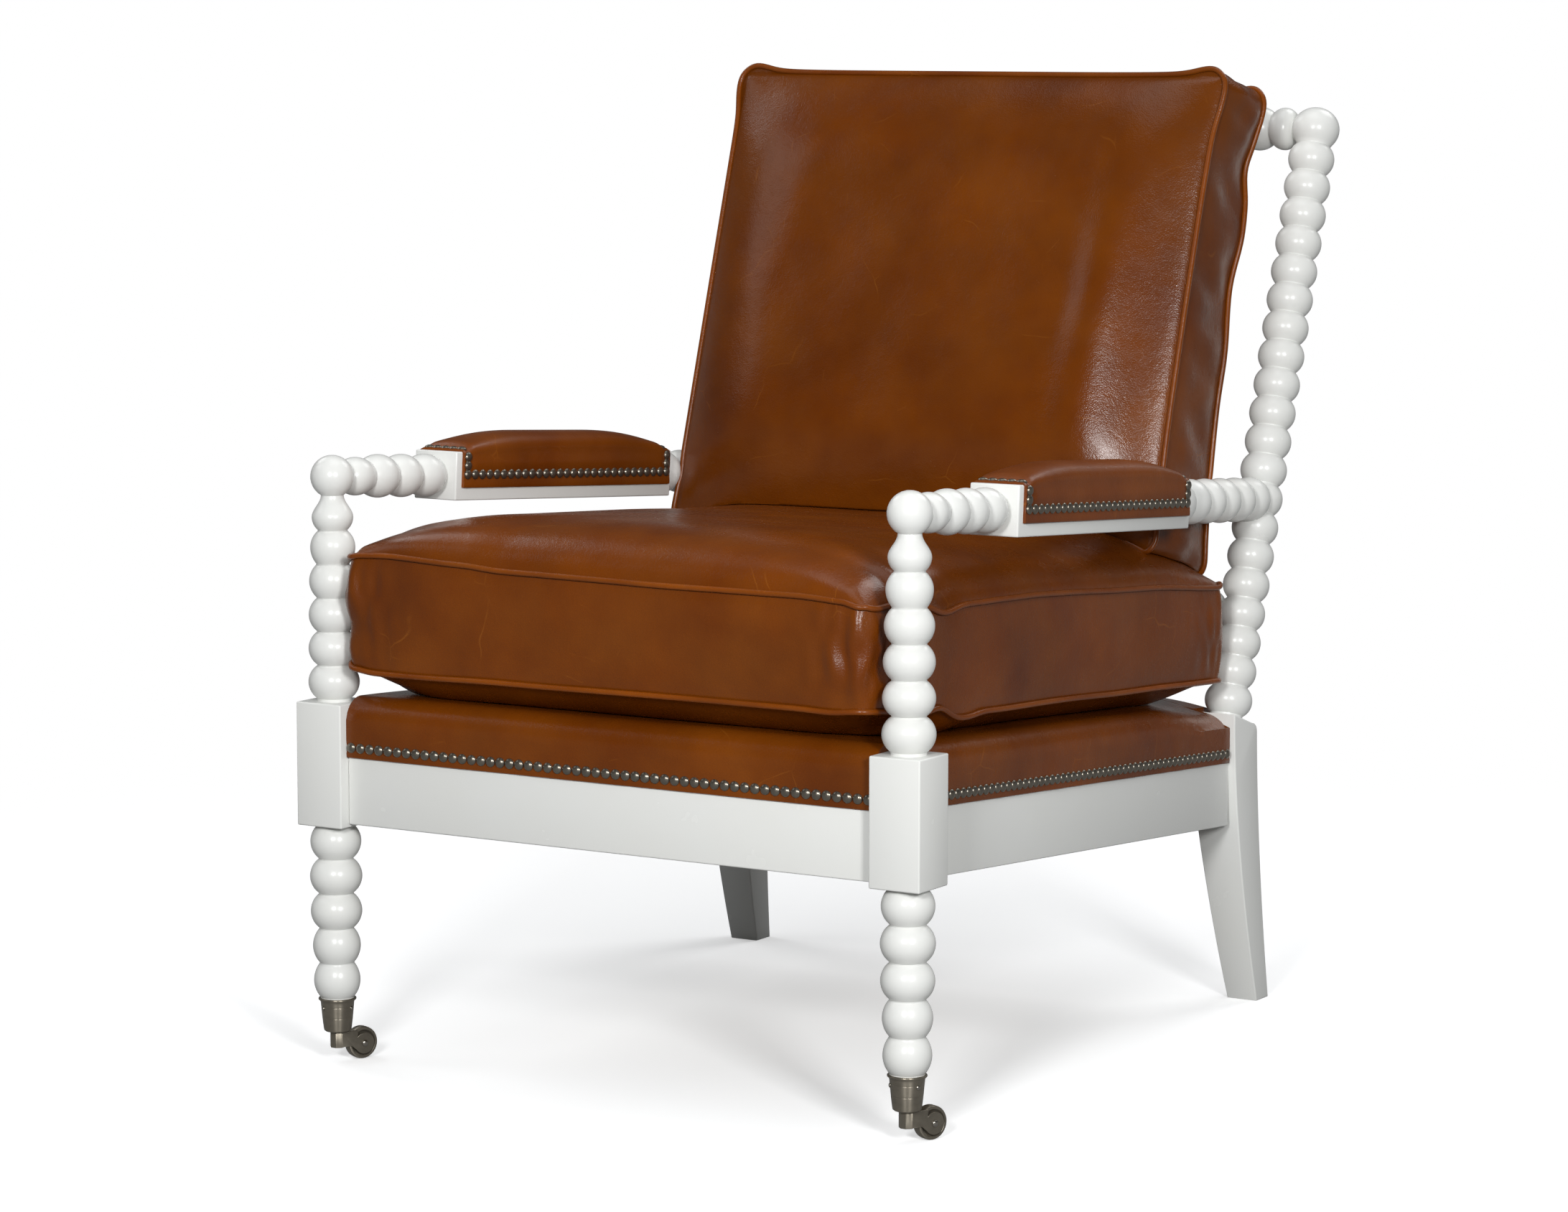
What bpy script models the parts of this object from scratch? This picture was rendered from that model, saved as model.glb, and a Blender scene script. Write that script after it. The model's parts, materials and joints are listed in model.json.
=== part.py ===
"""Spool-turned lounge chair with loose leather cushions and casters on its front legs.

The frame is turned and square wood, painted. The seat is an upholstered deck nailed over the
rails, with a boxed cushion on it and a boxed cushion against a spindle back. Metres, +Z up, the
chair faces -Y, and the floor is z = 0. Depths below are counted back from the axis of the front
posts; one empty moves the whole chair so that the middle of its depth lies on y = 0.
"""

import math

import bmesh
import bpy
from mathutils import Matrix, Vector

# Clearances
CLEAR = 0.0003                 # between faces that touch on the real chair
HOLE_CLEAR = 0.0003            # round a tenon, pin or screw in its hole

# Front posts
POST_X = 0.3335                # axis, out from the middle
BLOCK = 0.055                  # side of the square block
BLOCK_BOTTOM = 0.2450
BLOCK_TOP = 0.3708
BLOCK_EDGE = 0.0015            # eased edge
BALL_Z = 0.5971                # centre of the ball that ends the post
BALL_RADIUS = 0.0218
BALL_NECK = 0.0114
PEAR_HEIGHT = 0.0355           # the turning between the ball and the first bead
PEAR_RADIUS = 0.0208
PEAR_NECK = 0.0150
UPPER_BEAD_RADII = (0.0226, 0.0240, 0.0248, 0.0253, 0.0258)
UPPER_NECK = 0.0168
COLLAR_RADIUS = 0.0174         # the plain turning that enters the block
COLLAR_HEIGHT = 0.0021
LEG_BEAD_RADII = (0.0257, 0.0264, 0.0260, 0.0242, 0.0235)
LEG_NECK = 0.0165
LEG_END = 0.0665               # where the last bead sinks into the caster cup

# Back posts
BACK_X = 0.3106
RAKE = math.radians(18.2)
BACK_BASE = (0.7226, 0.3118)   # depth and height where the turning leaves the leg block
BACK_PITCH = 0.0317            # from bead to bead
BACK_RADIUS = 0.0247
BACK_NECK = 0.0175
BASE_BEAD_RADIUS = 0.0255
BASE_BEAD_LIFT = 0.0194        # centre of the lowest bead above the block
BACK_BEADS = 20                # beads under the crest ball
CREST_RISE = 0.0182            # from the last neck up to the centre of the crest ball
CREST_BALL_RADIUS = 0.0258
CREST_FLATTEN = 0.93           # the ball is a little lower than it is wide
ARM_BEAD = 7                   # the bead that the arm meets, counted up from 0
LOW_RAIL_BEAD = 3              # the bead that the low back rail meets

# Rear legs
LEG_WIDTH = 0.049
FOOT_WIDTH = 0.0354
LEG_TOP_FRONT = 0.6945         # depth of the front edge, straight under the back post
LEG_TOP_BACK = 0.750
LEG_STRAIGHT = 0.3125          # below this height the leg sweeps back
LEG_SWEEP_FRONT = 0.0635
LEG_SWEEP_BACK = 0.0367
LEG_SWEEP_POWER = 1.65
LEG_TAPER_TOP = 0.1925
LEG_STEPS = 8

# Seat frame, measured level at the front posts, and slanted down to the rear by one shear
SLOPE = 0.068                  # fall for each metre of depth
RAIL_BOTTOM = 0.2476
RAIL_HEIGHT = 0.100
RAIL_THICK = 0.025
FRONT_RAIL_FACE = -0.0152
SIDE_RAIL_FACE = 0.3266
REAR_RAIL_FACE = 0.744
TENON_LENGTH = 0.020
TENON_THICK = 0.010
TENON_HEIGHT = 0.060
CORNER_LEG = 0.070             # leg of the triangular corner block
CORNER_HEIGHT = 0.060
CORNER_DROP = 0.015            # top of the corner block under the rail's top
BOLT_RADIUS = 0.003
BOLT_HEAD = 0.006
BOLT_LENGTH = 0.034
BOARD_THICK = 0.009

# Upholstered deck
LEATHER = 0.0025
DECK_TOP = 0.3800
SKIRT_BOTTOM = 0.3160          # lower edge of the leather on the rails
SHOULDER = 0.026
STRIP_RADIUS = 0.0022          # half-round nail strip
STRIP_LIFT = 0.0100            # its centre above the leather's edge
ARM_STRIP_LIFT = 0.0140

# Seat cushion, level like the deck
SEAT_SIDE_INSET = 0.0056       # inside the side rails' faces
SEAT_HALF_WIDTH = SIDE_RAIL_FACE - SEAT_SIDE_INSET
SEAT_POST_GAP = 0.0067         # beside the front posts' widest bead
SEAT_NECK_HALF = POST_X - UPPER_BEAD_RADII[-1] - SEAT_POST_GAP
SEAT_FRONT = -0.0225
SEAT_NOTCH = 0.040             # how far back the corner notch goes
SEAT_REAR = 0.692
SEAT_LOW_WELT = 0.4040
SEAT_HIGH_WELT = 0.5140
SEAT_EARS = 0.004              # the welts' rise at the front corners
SEAT_CROWN = 0.058
SEAT_SAG = 0.037
SEAT_BULGE = 0.006

# Back cushion, in its own leaning plane
BACK_CUSHION_RAKE = math.radians(17.2)
BACK_CUSHION_FOOT = (0.5715, 0.5025)   # depth and height of the front welt's lower edge
BACK_CUSHION_HEIGHT = 0.516
BACK_CUSHION_HALF = 0.2925
BACK_CUSHION_LOW_FLARE = 0.005         # extra half width at the foot
BACK_CUSHION_HIGH_FLARE = 0.006        # and at the top corners
BACK_CUSHION_EARS = 0.007              # the top corners' rise over the top edge
BACK_CUSHION_BOXING = 0.092
BACK_CUSHION_LOW_BOXING = 0.125
BACK_CUSHION_CROWN = 0.042
BACK_CUSHION_GAP = 0.001               # between the rear crown and the spindles

# Arms
ARM_BLOCK_WIDTH = 0.0536
ARM_BLOCK_HEIGHT = 0.0503
ARM_BLOCK_START = 0.1711       # along the arm from the ball's centre
ARM_BLOCK_LENGTH = 0.3915
ARM_FIRST_BEAD = 0.0355
ARM_FIRST_RADIUS = 0.0195
ARM_FRONT_RADIUS = 0.0222
ARM_REAR_RADIUS = 0.0238
ARM_NECK = 0.0150
ARM_END_NECK = 0.0110
ARM_TENON = 0.010
ARM_TENON_PAST = 0.006         # the rear tenon's end past the post's axis
ARM_FRONT_INSET = 0.004        # the front tenon's end before the ball's centre
PAD_FRONT_INSET = 0.0095       # leather back from the front end of the block
PAD_REAR_INSET = 0.0060        # and from its rear end
PAD_SKIRT = 0.0368             # how far the leather comes down the block's sides
PAD_CROWN = 0.0135
PAD_EDGE = 0.003               # leather and foam over the block at its rim

# Back rails and spindles
CROSS_RADIUS = 0.0240
CROSS_NECK = 0.0166
CROSS_END_NECK = 0.0125
CROSS_END_BEAD = 0.0265
CROSS_END_RADIUS = 0.0232
CROSS_BEADS = 15
CROSS_INSET = 0.006            # the tenon's end before the post's axis
SPINDLE_XS = (-0.2106, -0.0702, 0.0702, 0.2106)
SPINDLE_RADIUS = 0.0160
SPINDLE_NECK = 0.0100
SPINDLE_TENON = 0.0085
SPINDLE_BEADS = 13
SPINDLE_INSET = 0.010          # the tenon's end before the rail's axis

# Casters
CUP_RIM_TOP = 0.0665
CUP_RIM_RADIUS = 0.0193
CUP_TOP_RADIUS = 0.0170
CUP_LOW_RADIUS = 0.0142
CUP_WALL = 0.0012
CUP_BOTTOM = 0.0317
PIN_RADIUS = 0.0040
PIN_TOP = 0.0540
BARREL_RADIUS = 0.0080
BARREL_BOTTOM = 0.0146
TRAIL = 0.0268                 # from the swivel axis to the axle
TRAIL_ANGLE = math.radians(66)   # the way the wheels trail at rest, from +X
WHEEL_RADIUS = 0.0165
WHEEL_WIDTH = 0.011
WHEEL_CLEAR = 0.0006
CHEEK_RADIUS = 0.011
CHEEK_THICK = 0.0022
AXLE_RADIUS = 0.0022
AXLE_HEAD = 0.0035
SCREW_RADIUS = 0.0012
SCREW_HEAD = 0.0022
SCREW_LENGTH = 0.008
SCREW_Z = 0.0560
SCREW_COUNT = 3

# Fineness of the solids
SIDES = 10
BACK_SIDES = 8
SPINDLE_SIDES = 6
BEAD_STEPS = 3
GROOVE_SIDES = 12
FINE_MERGE = 0.00001

LAST_NECK = BASE_BEAD_LIFT + (BACK_BEADS - 0.5) * BACK_PITCH
CREST_LIFT = LAST_NECK + CREST_RISE
MIDDLE_DEPTH = 0.5 * (BACK_BASE[0] + CREST_LIFT * math.sin(RAKE) + CREST_BALL_RADIUS - BLOCK / 2)


def clear_scene():
    """Remove the objects that the file starts with."""
    for old in list(bpy.data.objects):
        bpy.data.objects.remove(old, do_unlink=True)


clear_scene()
PARTS = bpy.data.collections.new("spool_lounge_chair")
TOOLS = bpy.data.collections.new("cutters")
bpy.context.scene.collection.children.link(PARTS)
bpy.context.scene.collection.children.link(TOOLS)
CHAIR = bpy.data.objects.new("chair_middle", None)
CHAIR.location.y = -MIDDLE_DEPTH
PARTS.objects.link(CHAIR)


def finish(name, color, roughness, metallic=0.0):
    """One Principled material."""
    made = bpy.data.materials.new(name)
    made.use_nodes = True
    shader = made.node_tree.nodes["Principled BSDF"]
    shader.inputs["Base Color"].default_value = (*color, 1.0)
    shader.inputs["Roughness"].default_value = roughness
    shader.inputs["Metallic"].default_value = metallic
    return made


PAINT = finish("white_paint", (0.72, 0.74, 0.71), 0.32)
LEATHER_TAN = finish("tan_leather", (0.20, 0.062, 0.012), 0.30)
BARE_WOOD = finish("bare_wood", (0.47, 0.32, 0.18), 0.60)
FOAM = finish("foam", (0.75, 0.70, 0.52), 0.90)
NICKEL = finish("dark_nickel", (0.20, 0.18, 0.15), 0.30, 1.0)
BRASS_NAIL = finish("aged_nail", (0.10, 0.085, 0.065), 0.32, 1.0)
STEEL = finish("screw_steel", (0.45, 0.44, 0.42), 0.35, 1.0)


def place(obj, material=None, location=(0, 0, 0), rotation=None):
    """Put an object in the chair, as a part where it has a material and as a cutter where not."""
    (PARTS if material else TOOLS).objects.link(obj)
    obj.parent = CHAIR
    obj.location = location
    if rotation is not None:
        obj.rotation_mode = "QUATERNION"
        obj.rotation_quaternion = rotation
    if material:
        obj.data.materials.clear()
        obj.data.materials.append(material)
    else:
        obj.hide_render = True
        obj.display_type = "WIRE"
    return obj


def smooth(mesh):
    """Smooth shading with sharp edges kept sharp."""
    mesh.shade_smooth()
    mesh.set_sharp_from_angle(angle=math.radians(38))


def settle(bm, mesh):
    """Write a bmesh to its mesh with its faces pointing out."""
    bm.normal_update()
    bmesh.ops.recalc_face_normals(bm, faces=bm.faces[:])
    bm.to_mesh(mesh)
    bm.free()
    smooth(mesh)


def mesh_object(name, bm):
    """An object from a bmesh."""
    mesh = bpy.data.meshes.new(name)
    settle(bm, mesh)
    return bpy.data.objects.new(name, mesh)


def box(name, low, high, material=None, edge=0.0):
    """A box between two corners, with eased edges where an edge width is given."""
    bm = bmesh.new()
    bmesh.ops.create_cube(bm, size=1.0)
    low, high = Vector(low), Vector(high)
    for vert in bm.verts:
        vert.co = Vector(low[i] + (vert.co[i] + 0.5) * (high[i] - low[i]) for i in range(3))
    obj = place(mesh_object(name, bm), material)
    if edge:
        ease = obj.modifiers.new("eased edges", "BEVEL")
        ease.width = edge
        ease.segments = 2
        ease.limit_method = "ANGLE"
    return obj


def cylinder(name, radius, start, end, sides=SIDES, material=None):
    """A round bar from one point to another."""
    start, end = Vector(start), Vector(end)
    bm = bmesh.new()
    bmesh.ops.create_cone(bm, cap_ends=True, segments=sides, radius1=radius, radius2=radius,
                          depth=(end - start).length)
    return place(mesh_object(name, bm), material, (start + end) / 2,
                 (end - start).to_track_quat("Z", "Y"))


def hole(name, radius, start, end, sides=SIDES):
    """A cutter for a hole that clears a round bar of this radius, whichever way its flats lie."""
    return cylinder(name, (radius + HOLE_CLEAR) / math.cos(math.pi / sides), start, end, sides)


def turned(name, profile, material=None, location=(0, 0, 0), rotation=None, sides=SIDES):
    """A turning about local Z from (radius, height) points that run down its outer side."""
    mesh = bpy.data.meshes.new(name)
    mesh.from_pydata([(radius, 0.0, height) for radius, height in profile],
                     [(i, i + 1) for i in range(len(profile) - 1)], [])
    obj = place(bpy.data.objects.new(name, mesh), material, location, rotation)
    screw = obj.modifiers.new("turning", "SCREW")
    screw.angle = math.tau
    screw.steps = sides
    screw.render_steps = sides
    screw.use_merge_vertices = True
    screw.merge_threshold = FINE_MERGE
    screw.use_smooth_shade = True
    return obj


def ring(name, profile, **where):
    """A turning with a bore: its profile closes on itself."""
    obj = turned(name, profile, **where)
    mesh = obj.data
    mesh.edges.add(1)
    mesh.edges[-1].vertices = (len(profile) - 1, 0)
    return obj


def boolean(obj, operand, operation):
    """Add or cut away another object."""
    step = obj.modifiers.new(operation.lower(), "BOOLEAN")
    step.operation = operation
    step.object = operand
    step.solver = "EXACT"


def join(obj, *operands):
    for operand in operands:
        boolean(obj, operand, "UNION")


def cut(obj, *operands):
    for operand in operands:
        boolean(obj, operand, "DIFFERENCE")


def slab(name, outline, low, high):
    """A flat outline in the XY plane given thickness, as a welded mesh."""
    curve = bpy.data.curves.new(name + "_outline", "CURVE")
    curve.dimensions = "2D"
    curve.fill_mode = "BOTH"
    curve.extrude = (high - low) / 2
    spline = curve.splines.new("POLY")
    spline.points.add(len(outline) - 1)
    for point, (x, y) in zip(spline.points, outline):
        point.co = (x, y, 0.0, 1.0)
    spline.use_cyclic_u = True
    drawn = bpy.data.objects.new(name + "_outline", curve)
    bpy.context.scene.collection.objects.link(drawn)
    bpy.context.view_layer.update()
    flat = bpy.data.meshes.new_from_object(drawn.evaluated_get(bpy.context.evaluated_depsgraph_get()))
    bpy.data.objects.remove(drawn, do_unlink=True)
    bm = bmesh.new()
    bm.from_mesh(flat)
    bpy.data.meshes.remove(flat)
    bmesh.ops.remove_doubles(bm, verts=bm.verts[:], dist=FINE_MERGE)
    bmesh.ops.dissolve_limit(bm, angle_limit=math.radians(0.1), verts=bm.verts[:], edges=bm.edges[:])
    for vert in bm.verts:
        vert.co.z += (low + high) / 2
    return mesh_object(name, bm)


def slant(obj):
    """Shear a level seat piece so that it falls to the rear."""
    for vert in obj.data.vertices:
        vert.co.z -= SLOPE * vert.co.y
    return obj


def bead(top, bottom, radius, neck_top, neck_bottom, steps=BEAD_STEPS):
    """Points down one bead as two arcs that swell from each neck to its full radius."""
    half = (top - bottom) / 2
    points = []
    for neck, side in ((neck_top, 1), (neck_bottom, -1)):
        rise = radius - neck
        arc = (rise * rise + half * half) / (2 * rise)
        sweep = math.asin(min(half / arc, 1.0))
        turns = [sweep * (1 - 2 * i / steps) for i in range(steps + 1)]
        points += [(radius - arc + arc * math.cos(turn),
                    (top + bottom) / 2 + side * arc * abs(math.sin(turn)))
                   for turn in turns if turn >= -1e-9]
    points.sort(key=lambda point: -point[1])
    kept = [points[0]]
    for point in points[1:]:
        if kept[-1][1] - point[1] > 2 * FINE_MERGE:
            kept.append(point)
    return kept


def beads(top, bottom, radii, neck_top, neck, neck_bottom, steps=BEAD_STEPS):
    """A run of beads of equal height, each with its own radius."""
    pitch = (top - bottom) / len(radii)
    necks = [neck_top] + [neck] * (len(radii) - 1) + [neck_bottom]
    points = []
    for i, radius in enumerate(radii):
        run = bead(top - i * pitch, top - (i + 1) * pitch, radius, necks[i], necks[i + 1], steps)
        points += run if i == 0 else run[1:]
    return points


def sphere_cap(centre, radius, neck, steps=5, flatten=1.0):
    """Points down a ball from its pole to the neck under it."""
    end = math.pi - math.asin(neck / radius)
    return [(radius * math.sin(end * i / steps), centre + flatten * radius * math.cos(end * i / steps))
            for i in range(steps + 1)]


def back_point(bead_number):
    """Depth and height of a back post bead's centre; the crest ball is the last one."""
    along = CREST_LIFT if bead_number == BACK_BEADS else BASE_BEAD_LIFT + bead_number * BACK_PITCH
    return Vector((0.0, BACK_BASE[0] + along * math.sin(RAKE), BACK_BASE[1] + along * math.cos(RAKE)))


def lean(obj_angle=RAKE):
    """Rotation that tips local Z back by an angle."""
    return Matrix.Rotation(-obj_angle, 4, "X").to_quaternion()


def arm_ends(side):
    """Centres of the front ball and of the back post bead that one arm runs between."""
    ball = Vector((side * POST_X, 0.0, BALL_Z))
    return ball, back_point(ARM_BEAD) + Vector((side * BACK_X, 0.0, 0.0))


def arm_point(side, along):
    ball, bead_centre = arm_ends(side)
    return ball + (bead_centre - ball).normalized() * along


def arm_length():
    ball, bead_centre = arm_ends(1)
    return (bead_centre - ball).length


def rail_tenon(name, low, high, grow=0.0):
    """A flat tenon, or with grow its mortise."""
    spread = Vector((grow, grow, grow))
    return box(name, Vector(low) - spread, Vector(high) + spread)


RAIL_TOP = RAIL_BOTTOM + RAIL_HEIGHT
BLOCK_INNER = POST_X - BLOCK / 2
LEG_INNER = BACK_X - LEG_WIDTH / 2


def front_rail_tenon(side):
    """Low and high corners of the front rail's tenon on one side."""
    middle_y = FRONT_RAIL_FACE + RAIL_THICK / 2
    middle_z = (RAIL_BOTTOM + RAIL_TOP) / 2
    ends = sorted((side * (BLOCK_INNER - TENON_LENGTH / 4), side * (BLOCK_INNER + TENON_LENGTH)))
    return ((ends[0], middle_y - TENON_THICK / 2, middle_z - TENON_HEIGHT / 2),
            (ends[1], middle_y + TENON_THICK / 2, middle_z + TENON_HEIGHT / 2))


def side_rail_tenon(side, at_front):
    """Low and high corners of a side rail's tenon in the front block or in the rear leg."""
    middle_x = side * (SIDE_RAIL_FACE - RAIL_THICK / 2)
    joint_y = BLOCK / 2 if at_front else LEG_TOP_FRONT
    reach = (-TENON_LENGTH, TENON_LENGTH / 4) if at_front else (-TENON_LENGTH / 4, TENON_LENGTH)
    middle_z = (RAIL_BOTTOM + RAIL_TOP) / 2 - SLOPE * joint_y
    return ((middle_x - TENON_THICK / 2, joint_y + reach[0], middle_z - TENON_HEIGHT / 2),
            (middle_x + TENON_THICK / 2, joint_y + reach[1], middle_z + TENON_HEIGHT / 2))


def rear_rail_tenon(side):
    """Low and high corners of the rear rail's tenon; it lies behind the side rail's tenon."""
    middle_y = REAR_RAIL_FACE - RAIL_THICK / 2
    middle_z = (RAIL_BOTTOM + RAIL_TOP) / 2 - SLOPE * middle_y
    ends = sorted((side * (LEG_INNER - TENON_LENGTH / 4), side * (LEG_INNER + TENON_LENGTH)))
    return ((ends[0], middle_y - TENON_THICK / 2, middle_z - TENON_HEIGHT / 2),
            (ends[1], middle_y + TENON_THICK / 2, middle_z + TENON_HEIGHT / 2))


def front_post_profile():
    """The whole front post from the ball down to the foot inside the caster cup."""
    neck_drop = math.sqrt(BALL_RADIUS ** 2 - BALL_NECK ** 2)
    pear_top = BALL_Z - neck_drop
    pear_bottom = pear_top - PEAR_HEIGHT
    swell = pear_top - 0.62 * PEAR_HEIGHT
    points = sphere_cap(BALL_Z, BALL_RADIUS, BALL_NECK)
    for i in range(1, 4):
        ease = (1 - math.cos(math.pi * i / 3)) / 2
        points.append((BALL_NECK + (PEAR_RADIUS - BALL_NECK) * ease, pear_top - (pear_top - swell) * i / 3))
    lower = bead(swell + (swell - pear_bottom), pear_bottom, PEAR_RADIUS, PEAR_NECK, PEAR_NECK)
    points += [point for point in lower if point[1] < swell - FINE_MERGE]
    collar_top = BLOCK_TOP + COLLAR_HEIGHT
    points += beads(pear_bottom, collar_top, UPPER_BEAD_RADII, PEAR_NECK, UPPER_NECK, COLLAR_RADIUS)[1:]
    points += beads(BLOCK_BOTTOM, LEG_END, LEG_BEAD_RADII, COLLAR_RADIUS, LEG_NECK,
                    CUP_RIM_RADIUS - CUP_WALL - 3 * CLEAR)
    wall = CUP_WALL + CLEAR
    floor = CUP_BOTTOM + CUP_WALL + CLEAR
    points += [
        (CUP_TOP_RADIUS - wall - 2 * CLEAR, CUP_RIM_TOP - 0.0070),
        (CUP_LOW_RADIUS - wall - 2 * CLEAR, CUP_BOTTOM + 0.0050),
        (CUP_LOW_RADIUS - wall - 0.0024, floor),
        (PIN_RADIUS + 2 * HOLE_CLEAR, floor),
        (PIN_RADIUS + 2 * HOLE_CLEAR, PIN_TOP + HOLE_CLEAR),
        (0.0, PIN_TOP + HOLE_CLEAR),
    ]
    return points


def screw_angle(side, number):
    """Direction of one cup screw round the post."""
    return math.tau * number / SCREW_COUNT + math.radians(100 if side > 0 else 125)


def screw_line(side, number, start, end):
    """Two points on a cup screw's axis, at radii start and end from the post's axis."""
    angle = screw_angle(side, number)
    way = Vector((math.cos(angle), math.sin(angle), 0.0))
    axis = Vector((side * POST_X, 0.0, SCREW_Z))
    return axis + way * start, axis + way * end


def front_posts():
    for side, word in ((-1, "left"), (1, "right")):
        post = turned("front_post_" + word, front_post_profile(), PAINT, (side * POST_X, 0, 0))
        block = box("block_" + word, (side * POST_X - BLOCK / 2, -BLOCK / 2, BLOCK_BOTTOM),
                    (side * POST_X + BLOCK / 2, BLOCK / 2, BLOCK_TOP), edge=BLOCK_EDGE)
        join(post, block)
        ball, bead_centre = arm_ends(side)
        way = (bead_centre - ball).normalized()
        arm_hole = hole("arm_hole_front_" + word, ARM_END_NECK, ball + way * (ARM_FRONT_INSET - HOLE_CLEAR),
                        ball + way * BALL_RADIUS * 1.5)
        front_mortise = rail_tenon("front_mortise_" + word, *front_rail_tenon(side), grow=HOLE_CLEAR)
        side_mortise = rail_tenon("side_mortise_" + word, *side_rail_tenon(side, True), grow=HOLE_CLEAR)
        cut(post, arm_hole, front_mortise, side_mortise)
        for number in range(SCREW_COUNT):
            inner = CUP_TOP_RADIUS - SCREW_LENGTH
            start, end = screw_line(side, number, inner - HOLE_CLEAR, CUP_RIM_RADIUS + 0.004)
            cut(post, hole(f"leg_screw_hole_{word}_{number}", SCREW_RADIUS, start, end, 6))


def leg_edge(height, top, sweep):
    """Depth of a swept edge of the rear leg at one height."""
    fall = max(LEG_STRAIGHT - height, 0.0) / LEG_STRAIGHT
    return top + sweep * fall ** LEG_SWEEP_POWER


def rear_leg(name, side, grow=0.0):
    """The square block and sabre leg under a back post, or with grow its cutter."""
    shoulder = 0.010
    drop = math.tan(RAKE)
    top_front = BACK_BASE[1] + (BACK_BASE[0] - LEG_TOP_FRONT) * drop
    top_back = BACK_BASE[1] - (LEG_TOP_BACK - shoulder - BACK_BASE[0]) * drop
    heights = [top_front * (1 - i / LEG_STEPS) for i in range(LEG_STEPS + 1)]
    outline = [(leg_edge(height, LEG_TOP_FRONT, LEG_SWEEP_FRONT) - grow, height) for height in heights]
    heights = [(top_back - shoulder) * i / LEG_STEPS for i in range(LEG_STEPS + 1)]
    outline += [(leg_edge(height, LEG_TOP_BACK, LEG_SWEEP_BACK) + grow, height) for height in heights]
    for turn in (30, 60, 90):
        angle = math.radians(turn)
        outline.append((LEG_TOP_BACK - shoulder + (shoulder + grow) * math.cos(angle),
                        top_back - shoulder + (shoulder + grow) * math.sin(angle)))
    obj = slab(name, outline, -LEG_WIDTH / 2 - grow, LEG_WIDTH / 2 + grow)
    bm = bmesh.new()
    bm.from_mesh(obj.data)
    bmesh.ops.bisect_plane(bm, geom=bm.verts[:] + bm.edges[:] + bm.faces[:], plane_co=(0, LEG_TAPER_TOP, 0),
                           plane_no=(0, 1, 0))
    for vert in bm.verts:
        depth, height, across = vert.co
        taper = max(LEG_TAPER_TOP - height, 0.0) / LEG_TAPER_TOP * (LEG_WIDTH - FOOT_WIDTH)
        vert.co = (side * (BACK_X + across + (taper if across < 0 else 0.0)), depth, height)
    settle(bm, obj.data)
    return obj


def back_turning(name, side, grow=0.0, material=None):
    """The raked bobbin turning of a back post from its crest ball down into the leg block."""
    base_top = BASE_BEAD_LIFT + BACK_PITCH / 2
    points = sphere_cap(CREST_LIFT, CREST_BALL_RADIUS, BACK_NECK, 6, CREST_FLATTEN)
    points += beads(LAST_NECK, base_top, [BACK_RADIUS] * (BACK_BEADS - 1), BACK_NECK, BACK_NECK, BACK_NECK)
    points += bead(base_top, BASE_BEAD_LIFT - BACK_PITCH / 2, BASE_BEAD_RADIUS, BACK_NECK, COLLAR_RADIUS)[1:]
    points += [(COLLAR_RADIUS, -0.020), (0.0, -0.020)]
    grown = [(radius + grow if radius > FINE_MERGE else 0.0, height + (grow if i == 0 else 0.0))
             for i, (radius, height) in enumerate(points)]
    return turned(name, grown, material, (side * BACK_X, BACK_BASE[0], BACK_BASE[1]), lean(), BACK_SIDES)


def cross_rail_hole(side, bead_number, word):
    """The hole in a back post for a cross rail's end."""
    centre = back_point(bead_number) + Vector((side * BACK_X, 0.0, 0.0))
    inward = Vector((-side, 0.0, 0.0))
    return hole(f"cross_hole_{bead_number}_{word}", CROSS_END_NECK,
                centre + inward * (CROSS_INSET - HOLE_CLEAR), centre + inward * CREST_BALL_RADIUS * 1.5)


def back_posts():
    for side, word in ((-1, "left"), (1, "right")):
        post = back_turning("back_post_" + word, side, material=PAINT)
        leg = place(rear_leg("rear_leg_" + word, side))
        join(post, leg)
        ball, bead_centre = arm_ends(side)
        way = (bead_centre - ball).normalized()
        arm_hole = hole("arm_hole_rear_" + word, ARM_TENON, bead_centre - way * BACK_RADIUS * 1.5,
                        bead_centre + way * (ARM_TENON_PAST + HOLE_CLEAR))
        side_mortise = rail_tenon("rear_side_mortise_" + word, *side_rail_tenon(side, False), grow=HOLE_CLEAR)
        rear_mortise = rail_tenon("rear_mortise_" + word, *rear_rail_tenon(side), grow=HOLE_CLEAR)
        cut(post, arm_hole, side_mortise, rear_mortise)
        cut(post, cross_rail_hole(side, BACK_BEADS, word), cross_rail_hole(side, LOW_RAIL_BEAD, word))


def spindle_hole(x, bead_number, upward):
    """The hole in a cross rail for one spindle end."""
    centre = back_point(bead_number) + Vector((x, 0.0, 0.0))
    way = Vector((0.0, math.sin(RAKE), math.cos(RAKE))) * (1 if upward else -1)
    number = SPINDLE_XS.index(x)
    return hole(f"spindle_hole_{bead_number}_{number}", SPINDLE_TENON,
                centre + way * (SPINDLE_INSET - HOLE_CLEAR), centre + way * CROSS_RADIUS * 1.5, SPINDLE_SIDES)


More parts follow.
